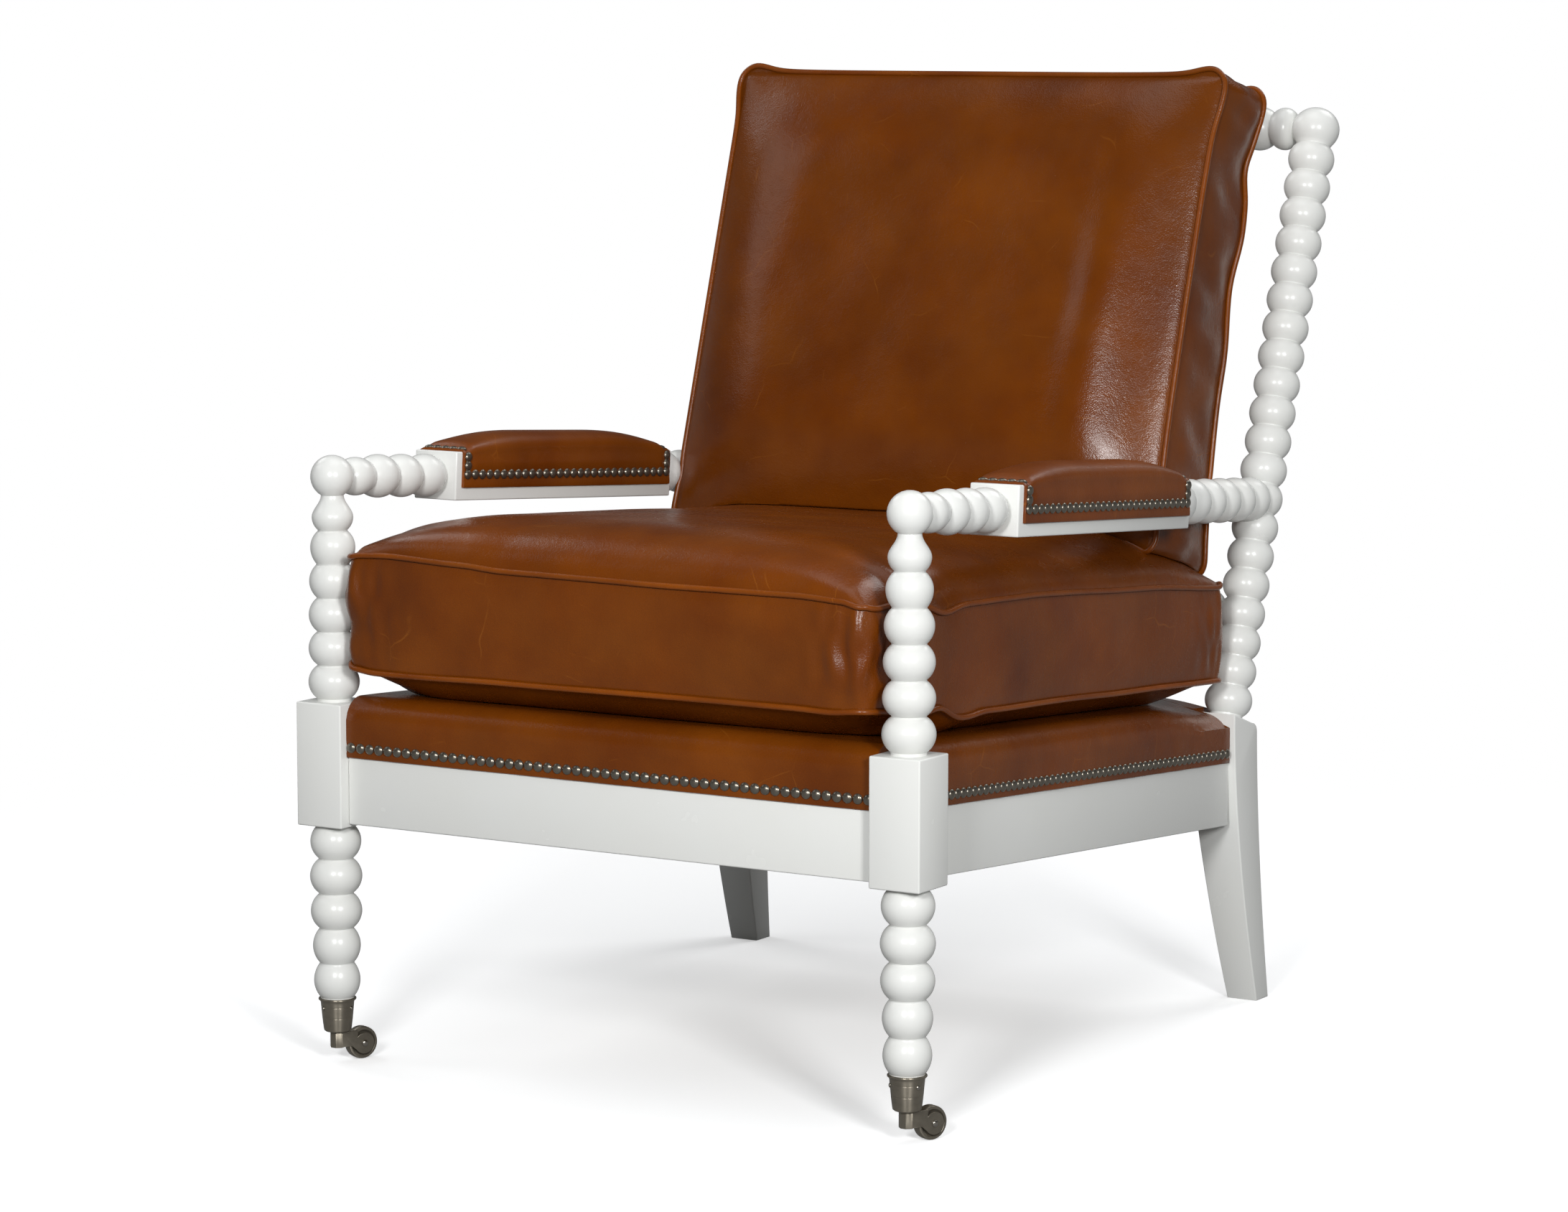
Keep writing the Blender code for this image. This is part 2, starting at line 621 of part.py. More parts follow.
def cross_rail(name, bead_number, holes_up):
    """A bobbin rail between the back posts, its ends housed in them."""
    half = BACK_X - CROSS_INSET
    shoulder = BACK_X - BACK_RADIUS + 0.002
    inner = shoulder - CROSS_END_BEAD
    middle = beads(inner, -inner, [CROSS_RADIUS] * CROSS_BEADS, CROSS_NECK, CROSS_NECK, CROSS_NECK)
    end = bead(shoulder, inner, CROSS_END_RADIUS, CROSS_END_NECK, CROSS_NECK)
    points = [(0.0, half), (CROSS_END_NECK, half)] + end + middle[1:]
    points += [(radius, -height) for radius, height in reversed(end[:-1])]
    points += [(CROSS_END_NECK, -half), (0.0, -half)]
    centre = back_point(bead_number)
    rail = turned(name, points, PAINT, centre, Vector((1, 0, 0)).to_track_quat("Z", "Y"), BACK_SIDES)
    cut(rail, *[spindle_hole(x, bead_number, holes_up) for x in SPINDLE_XS])


def back_spindles():
    low = back_point(LOW_RAIL_BEAD)
    high = back_point(BACK_BEADS)
    length = (high - low).length
    for number, x in enumerate(SPINDLE_XS):
        run_high = length - CROSS_RADIUS - 0.001
        run_low = CROSS_RADIUS + 0.001
        points = [(0.0, length - SPINDLE_INSET), (SPINDLE_TENON, length - SPINDLE_INSET)]
        points += beads(run_high, run_low, [SPINDLE_RADIUS] * SPINDLE_BEADS, SPINDLE_TENON, SPINDLE_NECK,
                        SPINDLE_TENON)
        points += [(SPINDLE_TENON, SPINDLE_INSET), (0.0, SPINDLE_INSET)]
        turned(f"back_spindle_{number + 1}", points, PAINT, low + Vector((x, 0.0, 0.0)), lean(),
               SPINDLE_SIDES)


def arm_box(name, side, half_width, half_height, start, end, material=None, edge=0.0):
    """A box along one arm, square to it, between two distances from the ball."""
    way = arm_point(side, 1.0) - arm_point(side, 0.0)
    half = (end - start) / 2
    obj = box(name, (-half_width, -half, -half_height), (half_width, half, half_height), material, edge)
    obj.location = arm_point(side, (start + end) / 2)
    obj.rotation_mode = "QUATERNION"
    obj.rotation_quaternion = way.to_track_quat("Y", "Z")
    return obj


def arms():
    block_end = ARM_BLOCK_START + ARM_BLOCK_LENGTH
    length = arm_length()
    first_top = math.sqrt(BALL_RADIUS ** 2 - ARM_END_NECK ** 2)
    first_end = first_top + ARM_FIRST_BEAD
    points = [(0.0, -ARM_FRONT_INSET), (ARM_END_NECK, -ARM_FRONT_INSET)]
    points += bead(-first_top, -first_end, ARM_FIRST_RADIUS, ARM_END_NECK, ARM_NECK)
    points += beads(-first_end, -ARM_BLOCK_START, [ARM_FRONT_RADIUS] * 3, ARM_NECK, ARM_NECK, ARM_NECK)[1:]
    points += beads(-block_end, -(length - 0.010), [ARM_REAR_RADIUS] * 6, ARM_NECK, ARM_NECK, ARM_NECK)
    points.append((0.0, -(length - 0.010)))
    for side, word in ((-1, "left"), (1, "right")):
        ball, bead_centre = arm_ends(side)
        way = (bead_centre - ball).normalized()
        arm = turned("arm_" + word, points, PAINT, ball, way.to_track_quat("-Z", "Y"))
        block = arm_box("arm_block_" + word, side, ARM_BLOCK_WIDTH / 2, ARM_BLOCK_HEIGHT / 2,
                        ARM_BLOCK_START, block_end, edge=BLOCK_EDGE)
        join(arm, block)
        cut(arm, back_turning("cope_" + word, side, CLEAR))
        tenon = cylinder("arm_tenon_" + word, ARM_TENON, arm_point(side, length - 0.045),
                         arm_point(side, length + ARM_TENON_PAST))
        join(arm, tenon)


def cage(name, xs, ys, missing, shape, crease_rings, layers, pinned_columns=()):
    """A soft closed form: a plan grid with corners left out, given layers, shaped and subdivided.

    shape takes a plan point, the layer's number and whether it lies on the rim, and gives a point.
    crease_rings gives the rim's sharpness in a layer; the plan's four corners stay sharp with it.
    """
    cells = [(i, j) for i in range(len(xs) - 1) for j in range(len(ys) - 1) if (i, j) not in missing]
    loops = [((i, j), (i + 1, j), (i + 1, j + 1), (i, j + 1)) for i, j in cells]
    sides = [(loop[n], loop[(n + 1) % 4]) for loop in loops for n in range(4)]
    border = [side for side in sides if (side[1], side[0]) not in sides]
    rim = {corner for side in border for corner in side}
    bm = bmesh.new()
    creases = bm.edges.layers.float.new("crease_edge")
    pins = bm.verts.layers.float.new("crease_vert")
    made = {}

    def vertex(corner, layer):
        if (corner, layer) not in made:
            made[corner, layer] = bm.verts.new(shape(xs[corner[0]], ys[corner[1]], layer, corner in rim))
        return made[corner, layer]

    top = layers - 1
    for loop in loops:
        bm.faces.new([vertex(corner, 0) for corner in reversed(loop)])
        bm.faces.new([vertex(corner, top) for corner in loop])
    for start, end in border:
        for layer in range(top):
            bm.faces.new([vertex(start, layer), vertex(end, layer), vertex(end, layer + 1),
                          vertex(start, layer + 1)])
    for layer, sharpness in crease_rings.items():
        for start, end in border:
            bm.edges.get((vertex(start, layer), vertex(end, layer)))[creases] = sharpness
    for (corner, layer), vert in made.items():
        if corner[0] in (0, len(xs) - 1, *pinned_columns) and corner[1] in (0, len(ys) - 1):
            vert[pins] = crease_rings.get(layer, 0.0)
    obj = mesh_object(name, bm)
    soften = obj.modifiers.new("soft form", "SUBSURF")
    soften.levels = 1
    soften.render_levels = 1
    halves = obj.modifiers.new("even diagonals", "TRIANGULATE")
    halves.quad_method = "FIXED"
    return obj


def plateau(u, v, power, ease):
    """How far a crown has risen at u, v from the middle: 1 over most of it and 0 at its edges."""
    return (max(1 - abs(u) ** power, 0.0) * max(1 - abs(v) ** power, 0.0)) ** ease


def spread(low, high, count):
    """Evenly spaced values from low to high."""
    return [low + (high - low) * i / (count - 1) for i in range(count)]


def seat_shape(grow):
    """The seat cushion's form on the level, before the slant."""
    middle = (SEAT_FRONT + SEAT_REAR) / 2
    half_depth = (SEAT_REAR - SEAT_FRONT) / 2

    def shape(x, y, layer, on_rim):
        u = x / SEAT_HALF_WIDTH
        v = (y - middle) / half_depth
        at_side = abs(x) > SEAT_NECK_HALF - FINE_MERGE
        at_end = abs(v) > 0.999
        rise = 0.0 if on_rim else plateau(u, v, 9.0, 0.5)
        ear = SEAT_EARS * u ** 4 if v < -0.7 else 0.0
        out = grow + (SEAT_BULGE if layer == 1 else 0.0)
        x += math.copysign(out, x) if on_rim and at_side else 0.0
        y += math.copysign(out, v) if on_rim and at_end else 0.0
        if layer == 0:
            return Vector((x, y, SEAT_LOW_WELT + ear - SEAT_SAG * rise - grow))
        if layer == 1:
            return Vector((x, y, (SEAT_LOW_WELT + SEAT_HIGH_WELT) / 2 + ear))
        return Vector((x, y, SEAT_HIGH_WELT + ear + SEAT_CROWN * rise + grow))

    return shape


def seat_body(name, grow=0.0):
    """The seat cushion, or with grow the cutter that its neighbours are fitted to."""
    inner = [SEAT_NECK_HALF * part for part in (-1, -0.84, -0.45, 0, 0.45, 0.84, 1)]
    xs = [-SEAT_HALF_WIDTH] + inner + [SEAT_HALF_WIDTH]
    ys = [SEAT_FRONT, 0.010] + spread(SEAT_NOTCH + 0.010, SEAT_REAR - 0.040, 6) + [SEAT_REAR]
    last = len(xs) - 2
    corners = {(0, 0), (0, 1), (last, 0), (last, 1)}
    return slant(cage(name, xs, ys, corners, seat_shape(grow), {0: 1.0, 2: 1.0}, 3, (1, last)))


def deck_box(name, inset, low, high, round_by=0.0):
    """A level deck layer, its upper edges rounded over, drawn in from the cover's outer faces."""
    front = FRONT_RAIL_FACE - CLEAR - LEATHER + inset
    side = SIDE_RAIL_FACE + CLEAR + LEATHER - inset
    rear = REAR_RAIL_FACE + CLEAR + LEATHER - inset
    bm = bmesh.new()
    bmesh.ops.create_cube(bm, size=1.0)
    for vert in bm.verts:
        vert.co = Vector((2 * side * vert.co.x, front + (rear - front) * (vert.co.y + 0.5),
                          low + (high - low) * (vert.co.z + 0.5)))
    if round_by:
        upper = [edge for edge in bm.edges if all(vert.co.z > high - FINE_MERGE for vert in edge.verts)]
        bmesh.ops.bevel(bm, geom=upper, offset=round_by, segments=4, affect="EDGES", profile=0.5)
    return slant(mesh_object(name, bm))


def notches(name, grow, low, high):
    """Cutters for a deck layer's corners, round the front blocks and the rear legs."""
    block_x = BLOCK_INNER - CLEAR - grow
    leg_x = BACK_X - max(LEG_WIDTH / 2, BASE_BEAD_RADIUS) - CLEAR - grow
    cutters = []
    for side, word in ((-1, "left"), (1, "right")):
        for end, inner_x, ends_y in (
                ("front", block_x, (-0.1, BLOCK / 2 + CLEAR + grow)),
                ("rear", leg_x, (LEG_TOP_FRONT - CLEAR - grow, 0.9))):
            ends_x = sorted((side * inner_x, side * 0.5))
            cutters.append(slant(box(f"{name}_{end}_{word}", (ends_x[0], ends_y[0], low),
                                     (ends_x[1], ends_y[1], high))))
    return cutters


def deck():
    """Board, foam and nailed leather cover over the seat rails."""
    board_low = RAIL_TOP + CLEAR
    board_high = board_low + BOARD_THICK
    skin = LEATHER + CLEAR
    inner_notches = notches("skin_notch", skin, RAIL_BOTTOM, 0.5)
    board = place(deck_box("deck_board", skin, board_low, DECK_TOP - skin, SHOULDER - skin), BARE_WOOD)
    cut(board, place(deck_box("over_board", -skin, board_high, 0.5)), *inner_notches)
    pad = place(deck_box("deck_pad", skin, board_low, DECK_TOP - skin, SHOULDER - skin), FOAM)
    cut(pad, place(deck_box("under_pad", -skin, RAIL_BOTTOM, board_high + CLEAR)), *inner_notches)
    hollow = place(deck_box("cover_hollow", LEATHER, RAIL_BOTTOM, DECK_TOP - LEATHER, SHOULDER - LEATHER))
    cut(hollow, *notches("wall_notch", LEATHER, board_low, 0.5))
    cover = place(deck_box("deck_cover", 0.0, SKIRT_BOTTOM, DECK_TOP, SHOULDER), LEATHER_TAN)
    cut(cover, hollow, *notches("cover_notch", 0.0, RAIL_BOTTOM - 0.05, 0.6))


def seat_rails():
    """Four rails with tenons, the rear ends of the side rails coped to the legs."""
    front = box("front_seat_rail", (-(BLOCK_INNER - CLEAR), FRONT_RAIL_FACE, RAIL_BOTTOM),
                (BLOCK_INNER - CLEAR, FRONT_RAIL_FACE + RAIL_THICK, RAIL_TOP), PAINT)
    rear = box("rear_seat_rail", (-(LEG_INNER - CLEAR), REAR_RAIL_FACE - RAIL_THICK, RAIL_BOTTOM),
               (LEG_INNER - CLEAR, REAR_RAIL_FACE, RAIL_TOP), PAINT)
    slant(front)
    slant(rear)
    for side, word in ((-1, "left"), (1, "right")):
        join(front, rail_tenon("front_tenon_" + word, *front_rail_tenon(side)))
        join(rear, rail_tenon("rear_tenon_" + word, *rear_rail_tenon(side)))
        ends = sorted((side * SIDE_RAIL_FACE, side * (SIDE_RAIL_FACE - RAIL_THICK)))
        rail = slant(box(word + "_seat_rail", (ends[0], BLOCK / 2 + CLEAR, RAIL_BOTTOM),
                         (ends[1], LEG_TOP_FRONT + TENON_LENGTH, RAIL_TOP), PAINT))
        cut(rail, place(rear_leg("leg_cope_" + word, side, CLEAR)))
        join(rail, rail_tenon("side_tenon_front_" + word, *side_rail_tenon(side, True)))
        join(rail, rail_tenon("side_tenon_rear_" + word, *side_rail_tenon(side, False)))


def corner_blocks():
    """A triangular block and a bolt in each inner corner of the seat frame."""
    front_y = FRONT_RAIL_FACE + RAIL_THICK + CLEAR
    rear_y = REAR_RAIL_FACE - RAIL_THICK - CLEAR
    rail_x = SIDE_RAIL_FACE - RAIL_THICK - CLEAR
    for end, corner_y, inward in (("front", front_y, 1), ("rear", rear_y, -1)):
        corner_x = rail_x if end == "front" else LEG_INNER - CLEAR
        clip = BLOCK / 2 + CLEAR - corner_y if end == "front" else rear_y - LEG_TOP_FRONT + CLEAR
        for side, word in ((-1, "left"), (1, "right")):
            low = RAIL_TOP - CORNER_DROP - CORNER_HEIGHT
            high = RAIL_TOP - CORNER_DROP
            outline = [(side * (corner_x - CORNER_LEG), corner_y)]
            if end == "front":
                post_x = BLOCK_INNER - CLEAR
                outline += [(side * min(post_x, corner_x), corner_y)]
                if post_x < corner_x:
                    outline += [(side * post_x, corner_y + clip), (side * corner_x, corner_y + clip)]
                outline += [(side * corner_x, corner_y + CORNER_LEG)]
            else:
                outline += [(side * corner_x, corner_y), (side * corner_x, corner_y - CORNER_LEG)]
            name = f"corner_block_{end}_{word}"
            block = place(slant(slab(name, outline, low, high)), BARE_WOOD)
            level = (low + high) / 2 - SLOPE * corner_y
            face = Vector((side * (corner_x - CORNER_LEG / 2), corner_y + inward * CORNER_LEG / 2, level))
            way = Vector((side, -inward, 0.0)).normalized()
            bolt_hole = hole("bolt_hole_" + name, BOLT_RADIUS, face - way * 0.01,
                             face + way * (BOLT_LENGTH + HOLE_CLEAR), 8)
            cut(block, bolt_hole)
            turned(f"corner_bolt_{end}_{word}",
                   [(0.0, 0.0036), (BOLT_HEAD * 0.7, 0.0030), (BOLT_HEAD, CLEAR), (BOLT_RADIUS, CLEAR),
                    (BOLT_RADIUS, -BOLT_LENGTH), (0.0, -BOLT_LENGTH)],
                   STEEL, face, way.to_track_quat("-Z", "Y"), 8)
            if end == "front":
                cut(bpy.data.objects["front_post_" + word], bolt_hole)


def strip(name, start, end):
    """A nail strip as a straight round bar."""
    return cylinder(name, STRIP_RADIUS, start, end, 6, BRASS_NAIL)


def nail_strips():
    """Nail strips along the lower edge of the deck's leather and of the arm pads."""
    proud = CLEAR + LEATHER + CLEAR + STRIP_RADIUS
    lift = SKIRT_BOTTOM + STRIP_LIFT
    margin = 0.004

    def level(x, y):
        return Vector((x, y, lift - SLOPE * y))

    front_y = FRONT_RAIL_FACE - proud
    rear_y = REAR_RAIL_FACE + proud
    side_x = SIDE_RAIL_FACE + proud
    strip("nail_strip_front", level(-BLOCK_INNER + margin, front_y), level(BLOCK_INNER - margin, front_y))
    strip("nail_strip_rear", level(-LEG_INNER + margin, rear_y), level(LEG_INNER - margin, rear_y))
    for side, word in ((-1, "left"), (1, "right")):
        strip("nail_strip_" + word, level(side * side_x, BLOCK / 2 + margin),
              level(side * side_x, LEG_TOP_FRONT - margin))
    start = ARM_BLOCK_START + PAD_FRONT_INSET + margin
    end = ARM_BLOCK_START + ARM_BLOCK_LENGTH - PAD_REAR_INSET - margin
    drop = ARM_BLOCK_HEIGHT / 2 - PAD_SKIRT + ARM_STRIP_LIFT
    for side, word in ((-1, "left"), (1, "right")):
        way = (arm_point(side, 1.0) - arm_point(side, 0.0)).normalized()
        across = way.cross(Vector((0, 0, 1))).normalized()
        up = across.cross(way)
        for sign, place_word in ((side, "outer"), (-side, "inner")):
            out = across * sign * (ARM_BLOCK_WIDTH / 2 + PAD_EDGE + CLEAR + STRIP_RADIUS) + up * drop
            strip(f"arm_nail_strip_{place_word}_{word}", arm_point(side, start) + out,
                  arm_point(side, end) + out)


def arm_pads():
    """Crowned leather pads that wrap the top and sides of the arm blocks."""
    start = ARM_BLOCK_START + PAD_FRONT_INSET
    end = ARM_BLOCK_START + ARM_BLOCK_LENGTH - PAD_REAR_INSET
    half = (end - start) / 2
    half_width = ARM_BLOCK_WIDTH / 2 + PAD_EDGE
    top = ARM_BLOCK_HEIGHT / 2 + PAD_EDGE
    bottom = ARM_BLOCK_HEIGHT / 2 - PAD_SKIRT

    def shape(x, y, layer, on_rim):
        if layer == 0:
            return Vector((x, y, bottom))
        if layer == 1:
            return Vector((x, y, top - 2 * PAD_EDGE))
        along = max(1 - abs(y / half) ** 3.2, 0.0)
        if on_rim:
            drawn_in = 0.93 if abs(x) > 0.9 * half_width else 1.0
            return Vector((x * drawn_in, y, top + 0.25 * PAD_CROWN * along))
        return Vector((x, y, top + PAD_CROWN * along))

    for side, word in ((-1, "left"), (1, "right")):
        way = arm_point(side, 1.0) - arm_point(side, 0.0)
        pad = cage("arm_pad_" + word, spread(-half_width, half_width, 4), spread(-half, half, 7), set(),
                   shape, {0: 1.0, 1: 1.0}, 3)
        pad.data.materials.append(LEATHER_TAN)
        place(pad, LEATHER_TAN, arm_point(side, (start + end) / 2), way.to_track_quat("Y", "Z"))
        slot = arm_box("pad_slot_" + word, side, ARM_BLOCK_WIDTH / 2 + CLEAR, ARM_BLOCK_HEIGHT / 2 + CLEAR,
                       ARM_BLOCK_START - 0.01, ARM_BLOCK_START + ARM_BLOCK_LENGTH + 0.01)
        below = arm_box("pad_below_" + word, side, ARM_BLOCK_WIDTH / 2 + CLEAR, ARM_BLOCK_HEIGHT / 2,
                        ARM_BLOCK_START - 0.01, ARM_BLOCK_START + ARM_BLOCK_LENGTH + 0.01)
        below.location.z -= ARM_BLOCK_HEIGHT / 2
        cut(pad, slot, below)


def seat_cushion():
    cushion = place(seat_body("seat_cushion"), LEATHER_TAN)
    under = place(deck_box("deck_under_cushion", -CLEAR, SKIRT_BOTTOM, DECK_TOP + CLEAR, SHOULDER))
    cut(cushion, under)


def back_cushion():
    """The loose back cushion, leaning on the spindles and standing on the seat cushion."""
    foot = Vector((0.0, BACK_CUSHION_FOOT[0], BACK_CUSHION_FOOT[1]))
    forward = Vector((0.0, -math.cos(BACK_CUSHION_RAKE), math.sin(BACK_CUSHION_RAKE)))
    up = Vector((0.0, math.sin(BACK_CUSHION_RAKE), math.cos(BACK_CUSHION_RAKE)))
    middle = foot + up * BACK_CUSHION_HEIGHT / 2
    spindle_normal = Vector((0.0, -math.cos(RAKE), math.sin(RAKE)))
    reach = (back_point(BACK_BEADS) - middle).dot(-spindle_normal) - SPINDLE_RADIUS - BACK_CUSHION_GAP

    def shape(u, y, layer, on_rim):
        v = 2 * y - 1
        flare = BACK_CUSHION_HIGH_FLARE if v > 0 else BACK_CUSHION_LOW_FLARE
        across = u * (BACK_CUSHION_HALF + flare * v ** 4)
        along = y * BACK_CUSHION_HEIGHT
        if v > 0.5:
            along += BACK_CUSHION_EARS * (u ** 4 - 0.4)
        boxing = BACK_CUSHION_BOXING + (BACK_CUSHION_LOW_BOXING - BACK_CUSHION_BOXING) * (1 - y) ** 3
        if layer == 0:
            crown = reach - boxing
            depth = -boxing - (0.0 if on_rim else crown * plateau(u, v, 3.0, 0.6))
        elif layer == 1:
            across *= 1.012 if abs(u) > 0.99 else 1.0
            depth = -boxing / 2
        else:
            depth = 0.0 if on_rim else BACK_CUSHION_CROWN * plateau(u, v, 4.0, 0.7)
        return foot + up * along + forward * depth + Vector((across, 0.0, 0.0))

    columns = [-1, -0.88, -0.55, 0, 0.55, 0.88, 1]
    rows = [0, 0.08, 0.22, 0.42, 0.62, 0.80, 0.92, 1]
    cushion = place(cage("back_cushion", columns, rows, set(), shape, {0: 1.0, 2: 1.0}, 3), LEATHER_TAN)
    cut(cushion, place(seat_body("seat_under_back", 2 * CLEAR)))
    groove = (ARM_REAR_RADIUS + 2 * CLEAR) / math.cos(math.pi / GROOVE_SIDES)
    block_end = ARM_BLOCK_START + ARM_BLOCK_LENGTH
    half_width = ARM_BLOCK_WIDTH / 2 + PAD_EDGE + 2 * STRIP_RADIUS + 2 * CLEAR
    half_height = ARM_BLOCK_HEIGHT / 2 + PAD_EDGE + PAD_CROWN + CLEAR
    for side, word in ((-1, "left"), (1, "right")):
        beads_way = cylinder("arm_groove_" + word, groove, arm_point(side, block_end),
                             arm_point(side, arm_length()), GROOVE_SIDES)
        block_way = arm_box("block_groove_" + word, side, half_width, half_height, ARM_BLOCK_START,
                            block_end + CLEAR)
        cut(cushion, beads_way, block_way)


def casters():
    """Cup, swivelling fork, axle and wheel under each front post, and the cup's screws."""
    wall_low = CUP_BOTTOM + CUP_WALL
    cup_profile = [
        (CUP_RIM_RADIUS - CUP_WALL, CUP_RIM_TOP), (CUP_RIM_RADIUS, CUP_RIM_TOP - 0.0010),
        (CUP_RIM_RADIUS, CUP_RIM_TOP - 0.0035), (CUP_TOP_RADIUS, CUP_RIM_TOP - 0.0060),
        (CUP_LOW_RADIUS, CUP_BOTTOM + 0.0045), (CUP_LOW_RADIUS - 0.0012, CUP_BOTTOM + 0.0012),
        (CUP_LOW_RADIUS - 0.0036, CUP_BOTTOM), (PIN_RADIUS + HOLE_CLEAR, CUP_BOTTOM),
        (PIN_RADIUS + HOLE_CLEAR, wall_low), (CUP_LOW_RADIUS - 0.0030, wall_low),
        (CUP_LOW_RADIUS - CUP_WALL, CUP_BOTTOM + 0.0050), (CUP_TOP_RADIUS - CUP_WALL, CUP_RIM_TOP - 0.0070),
        (CUP_RIM_RADIUS - CUP_WALL - CLEAR, CUP_RIM_TOP - 0.0030),
    ]
    trail = Vector((math.cos(TRAIL_ANGLE), math.sin(TRAIL_ANGLE), 0.0))
    turn = Matrix.Rotation(TRAIL_ANGLE, 4, "Z").to_quaternion()
    axle_turn = turn @ Matrix.Rotation(math.radians(-90), 4, "X").to_quaternion()
    outer = WHEEL_WIDTH / 2 + WHEEL_CLEAR + CHEEK_THICK
    for side, word in ((-1, "left"), (1, "right")):
        stem = Vector((side * POST_X, 0.0, 0.0))
        axle = stem + trail * TRAIL + Vector((0.0, 0.0, WHEEL_RADIUS))
        cup = ring("caster_cup_" + word, cup_profile, material=NICKEL, location=stem)
        fork = turned("caster_fork_" + word,
                      [(0.0, PIN_TOP), (PIN_RADIUS, PIN_TOP - 0.0008), (PIN_RADIUS, CUP_BOTTOM - CLEAR),
                       (BARREL_RADIUS, CUP_BOTTOM - CLEAR), (BARREL_RADIUS, BARREL_BOTTOM + 0.001),
                       (BARREL_RADIUS - 0.002, BARREL_BOTTOM), (0.0, BARREL_BOTTOM)],
                      NICKEL, stem, turn)
        cheek = [(0.0, BARREL_BOTTOM), (TRAIL - CHEEK_RADIUS, BARREL_BOTTOM)]
        for step in range(13):
            angle = math.radians(200 + step * 300 / 12)
            cheek.append((TRAIL + CHEEK_RADIUS * math.cos(angle),
                          WHEEL_RADIUS + CHEEK_RADIUS * math.sin(angle)))
        cheek += [(TRAIL - CHEEK_RADIUS, CUP_BOTTOM - 3 * CLEAR), (0.0, CUP_BOTTOM - 3 * CLEAR)]
        plate = slab("cheek_" + word, cheek, -outer, outer)
        for vert in plate.data.vertices:
            along, height, across = vert.co
            vert.co = (along, -across, height)
        place(plate, None, stem, turn)
        gap = WHEEL_WIDTH / 2 + WHEEL_CLEAR
        across = Vector((-math.sin(TRAIL_ANGLE), math.cos(TRAIL_ANGLE), 0.0))
        slot = cylinder("wheel_slot_" + word, WHEEL_RADIUS + WHEEL_CLEAR, axle - across * gap,
                        axle + across * gap, 24)
        axle_hole = hole("axle_hole_" + word, AXLE_RADIUS, axle - across * 0.02, axle + across * 0.02)
        join(fork, plate)
        cut(fork, slot, axle_hole)
        head = outer + CLEAR
        turned("caster_axle_" + word,
               [(0.0, head + 0.0018), (AXLE_HEAD * 0.7, head + 0.0014), (AXLE_HEAD, head),
                (AXLE_RADIUS, head),
                (AXLE_RADIUS, -head), (AXLE_HEAD, -head), (AXLE_HEAD * 0.7, -head - 0.0014),
                (0.0, -head - 0.0018)], STEEL, axle, axle_turn, 10)
        half = WHEEL_WIDTH / 2
        bore = AXLE_RADIUS + HOLE_CLEAR
        face = [(bore, half), (0.0060, half), (0.0074, half - 0.0020), (0.0120, half - 0.0020),
                (0.0134, half), (WHEEL_RADIUS - 0.0012, half), (WHEEL_RADIUS, half - 0.0014)]
        ring("caster_wheel_" + word, face + [(radius, -height) for radius, height in reversed(face)],
             material=NICKEL, location=axle, rotation=axle_turn, sides=16)
        for number in range(SCREW_COUNT):
            taper = (CUP_TOP_RADIUS - CUP_LOW_RADIUS) / 0.028
            slope_radius = CUP_TOP_RADIUS - taper * (CUP_RIM_TOP - 0.006 - SCREW_Z)
            seat, far = screw_line(side, number, slope_radius + CLEAR, slope_radius + 1.0)
            way = (far - seat).normalized()
            start, end = screw_line(side, number, 0.008, CUP_RIM_RADIUS + 0.002)
            cut(cup, hole(f"cup_screw_hole_{word}_{number}", SCREW_RADIUS, start, end, 6))
            turned(f"cup_screw_{word}_{number + 1}",
                   [(0.0, 0.0013), (SCREW_HEAD * 0.7, 0.0010), (SCREW_HEAD, 0.0003), (SCREW_RADIUS, 0.0003),
                    (SCREW_RADIUS, -SCREW_LENGTH + 0.001), (0.0, -SCREW_LENGTH + 0.001)],
                   STEEL, seat, way.to_track_quat("Z", "Y"), 6)


front_posts()
back_posts()
cross_rail("crest_rail", BACK_BEADS, False)
cross_rail("low_back_rail", LOW_RAIL_BEAD, True)
back_spindles()
arms()
arm_pads()
seat_rails()
corner_blocks()
deck()
nail_strips()
seat_cushion()
back_cushion()
casters()
bpy.context.view_layer.update()
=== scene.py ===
"""The looks of a spool-turned lounge chair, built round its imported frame.

The turned and square woodwork is made again with fine facets, the leather as sewn and welted
forms, the nails one by one, and the casters with their rims, horns and dished wheels. Lengths are
metres, the chair faces -Y and the floor is z = 0. Depths are counted back from the front posts'
axis.
"""

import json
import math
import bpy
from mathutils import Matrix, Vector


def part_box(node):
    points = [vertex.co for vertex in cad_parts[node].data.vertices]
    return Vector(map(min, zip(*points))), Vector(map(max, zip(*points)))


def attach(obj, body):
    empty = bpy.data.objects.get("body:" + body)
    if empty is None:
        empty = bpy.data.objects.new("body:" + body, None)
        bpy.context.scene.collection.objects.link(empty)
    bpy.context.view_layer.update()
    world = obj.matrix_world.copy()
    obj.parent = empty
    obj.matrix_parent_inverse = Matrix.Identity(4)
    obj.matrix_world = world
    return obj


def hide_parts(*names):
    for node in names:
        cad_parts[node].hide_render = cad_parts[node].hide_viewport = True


bl_info = {
    "name": "Spool Lounge Chair",
    "version": (1, 0, 0),
    "blender": (4, 5, 0),
    "location": "View3D > Sidebar > Chair",
    "description": "Builds the woodwork, leather, nails and casters of a spool-turned lounge chair",
    "category": "Add Mesh",
}

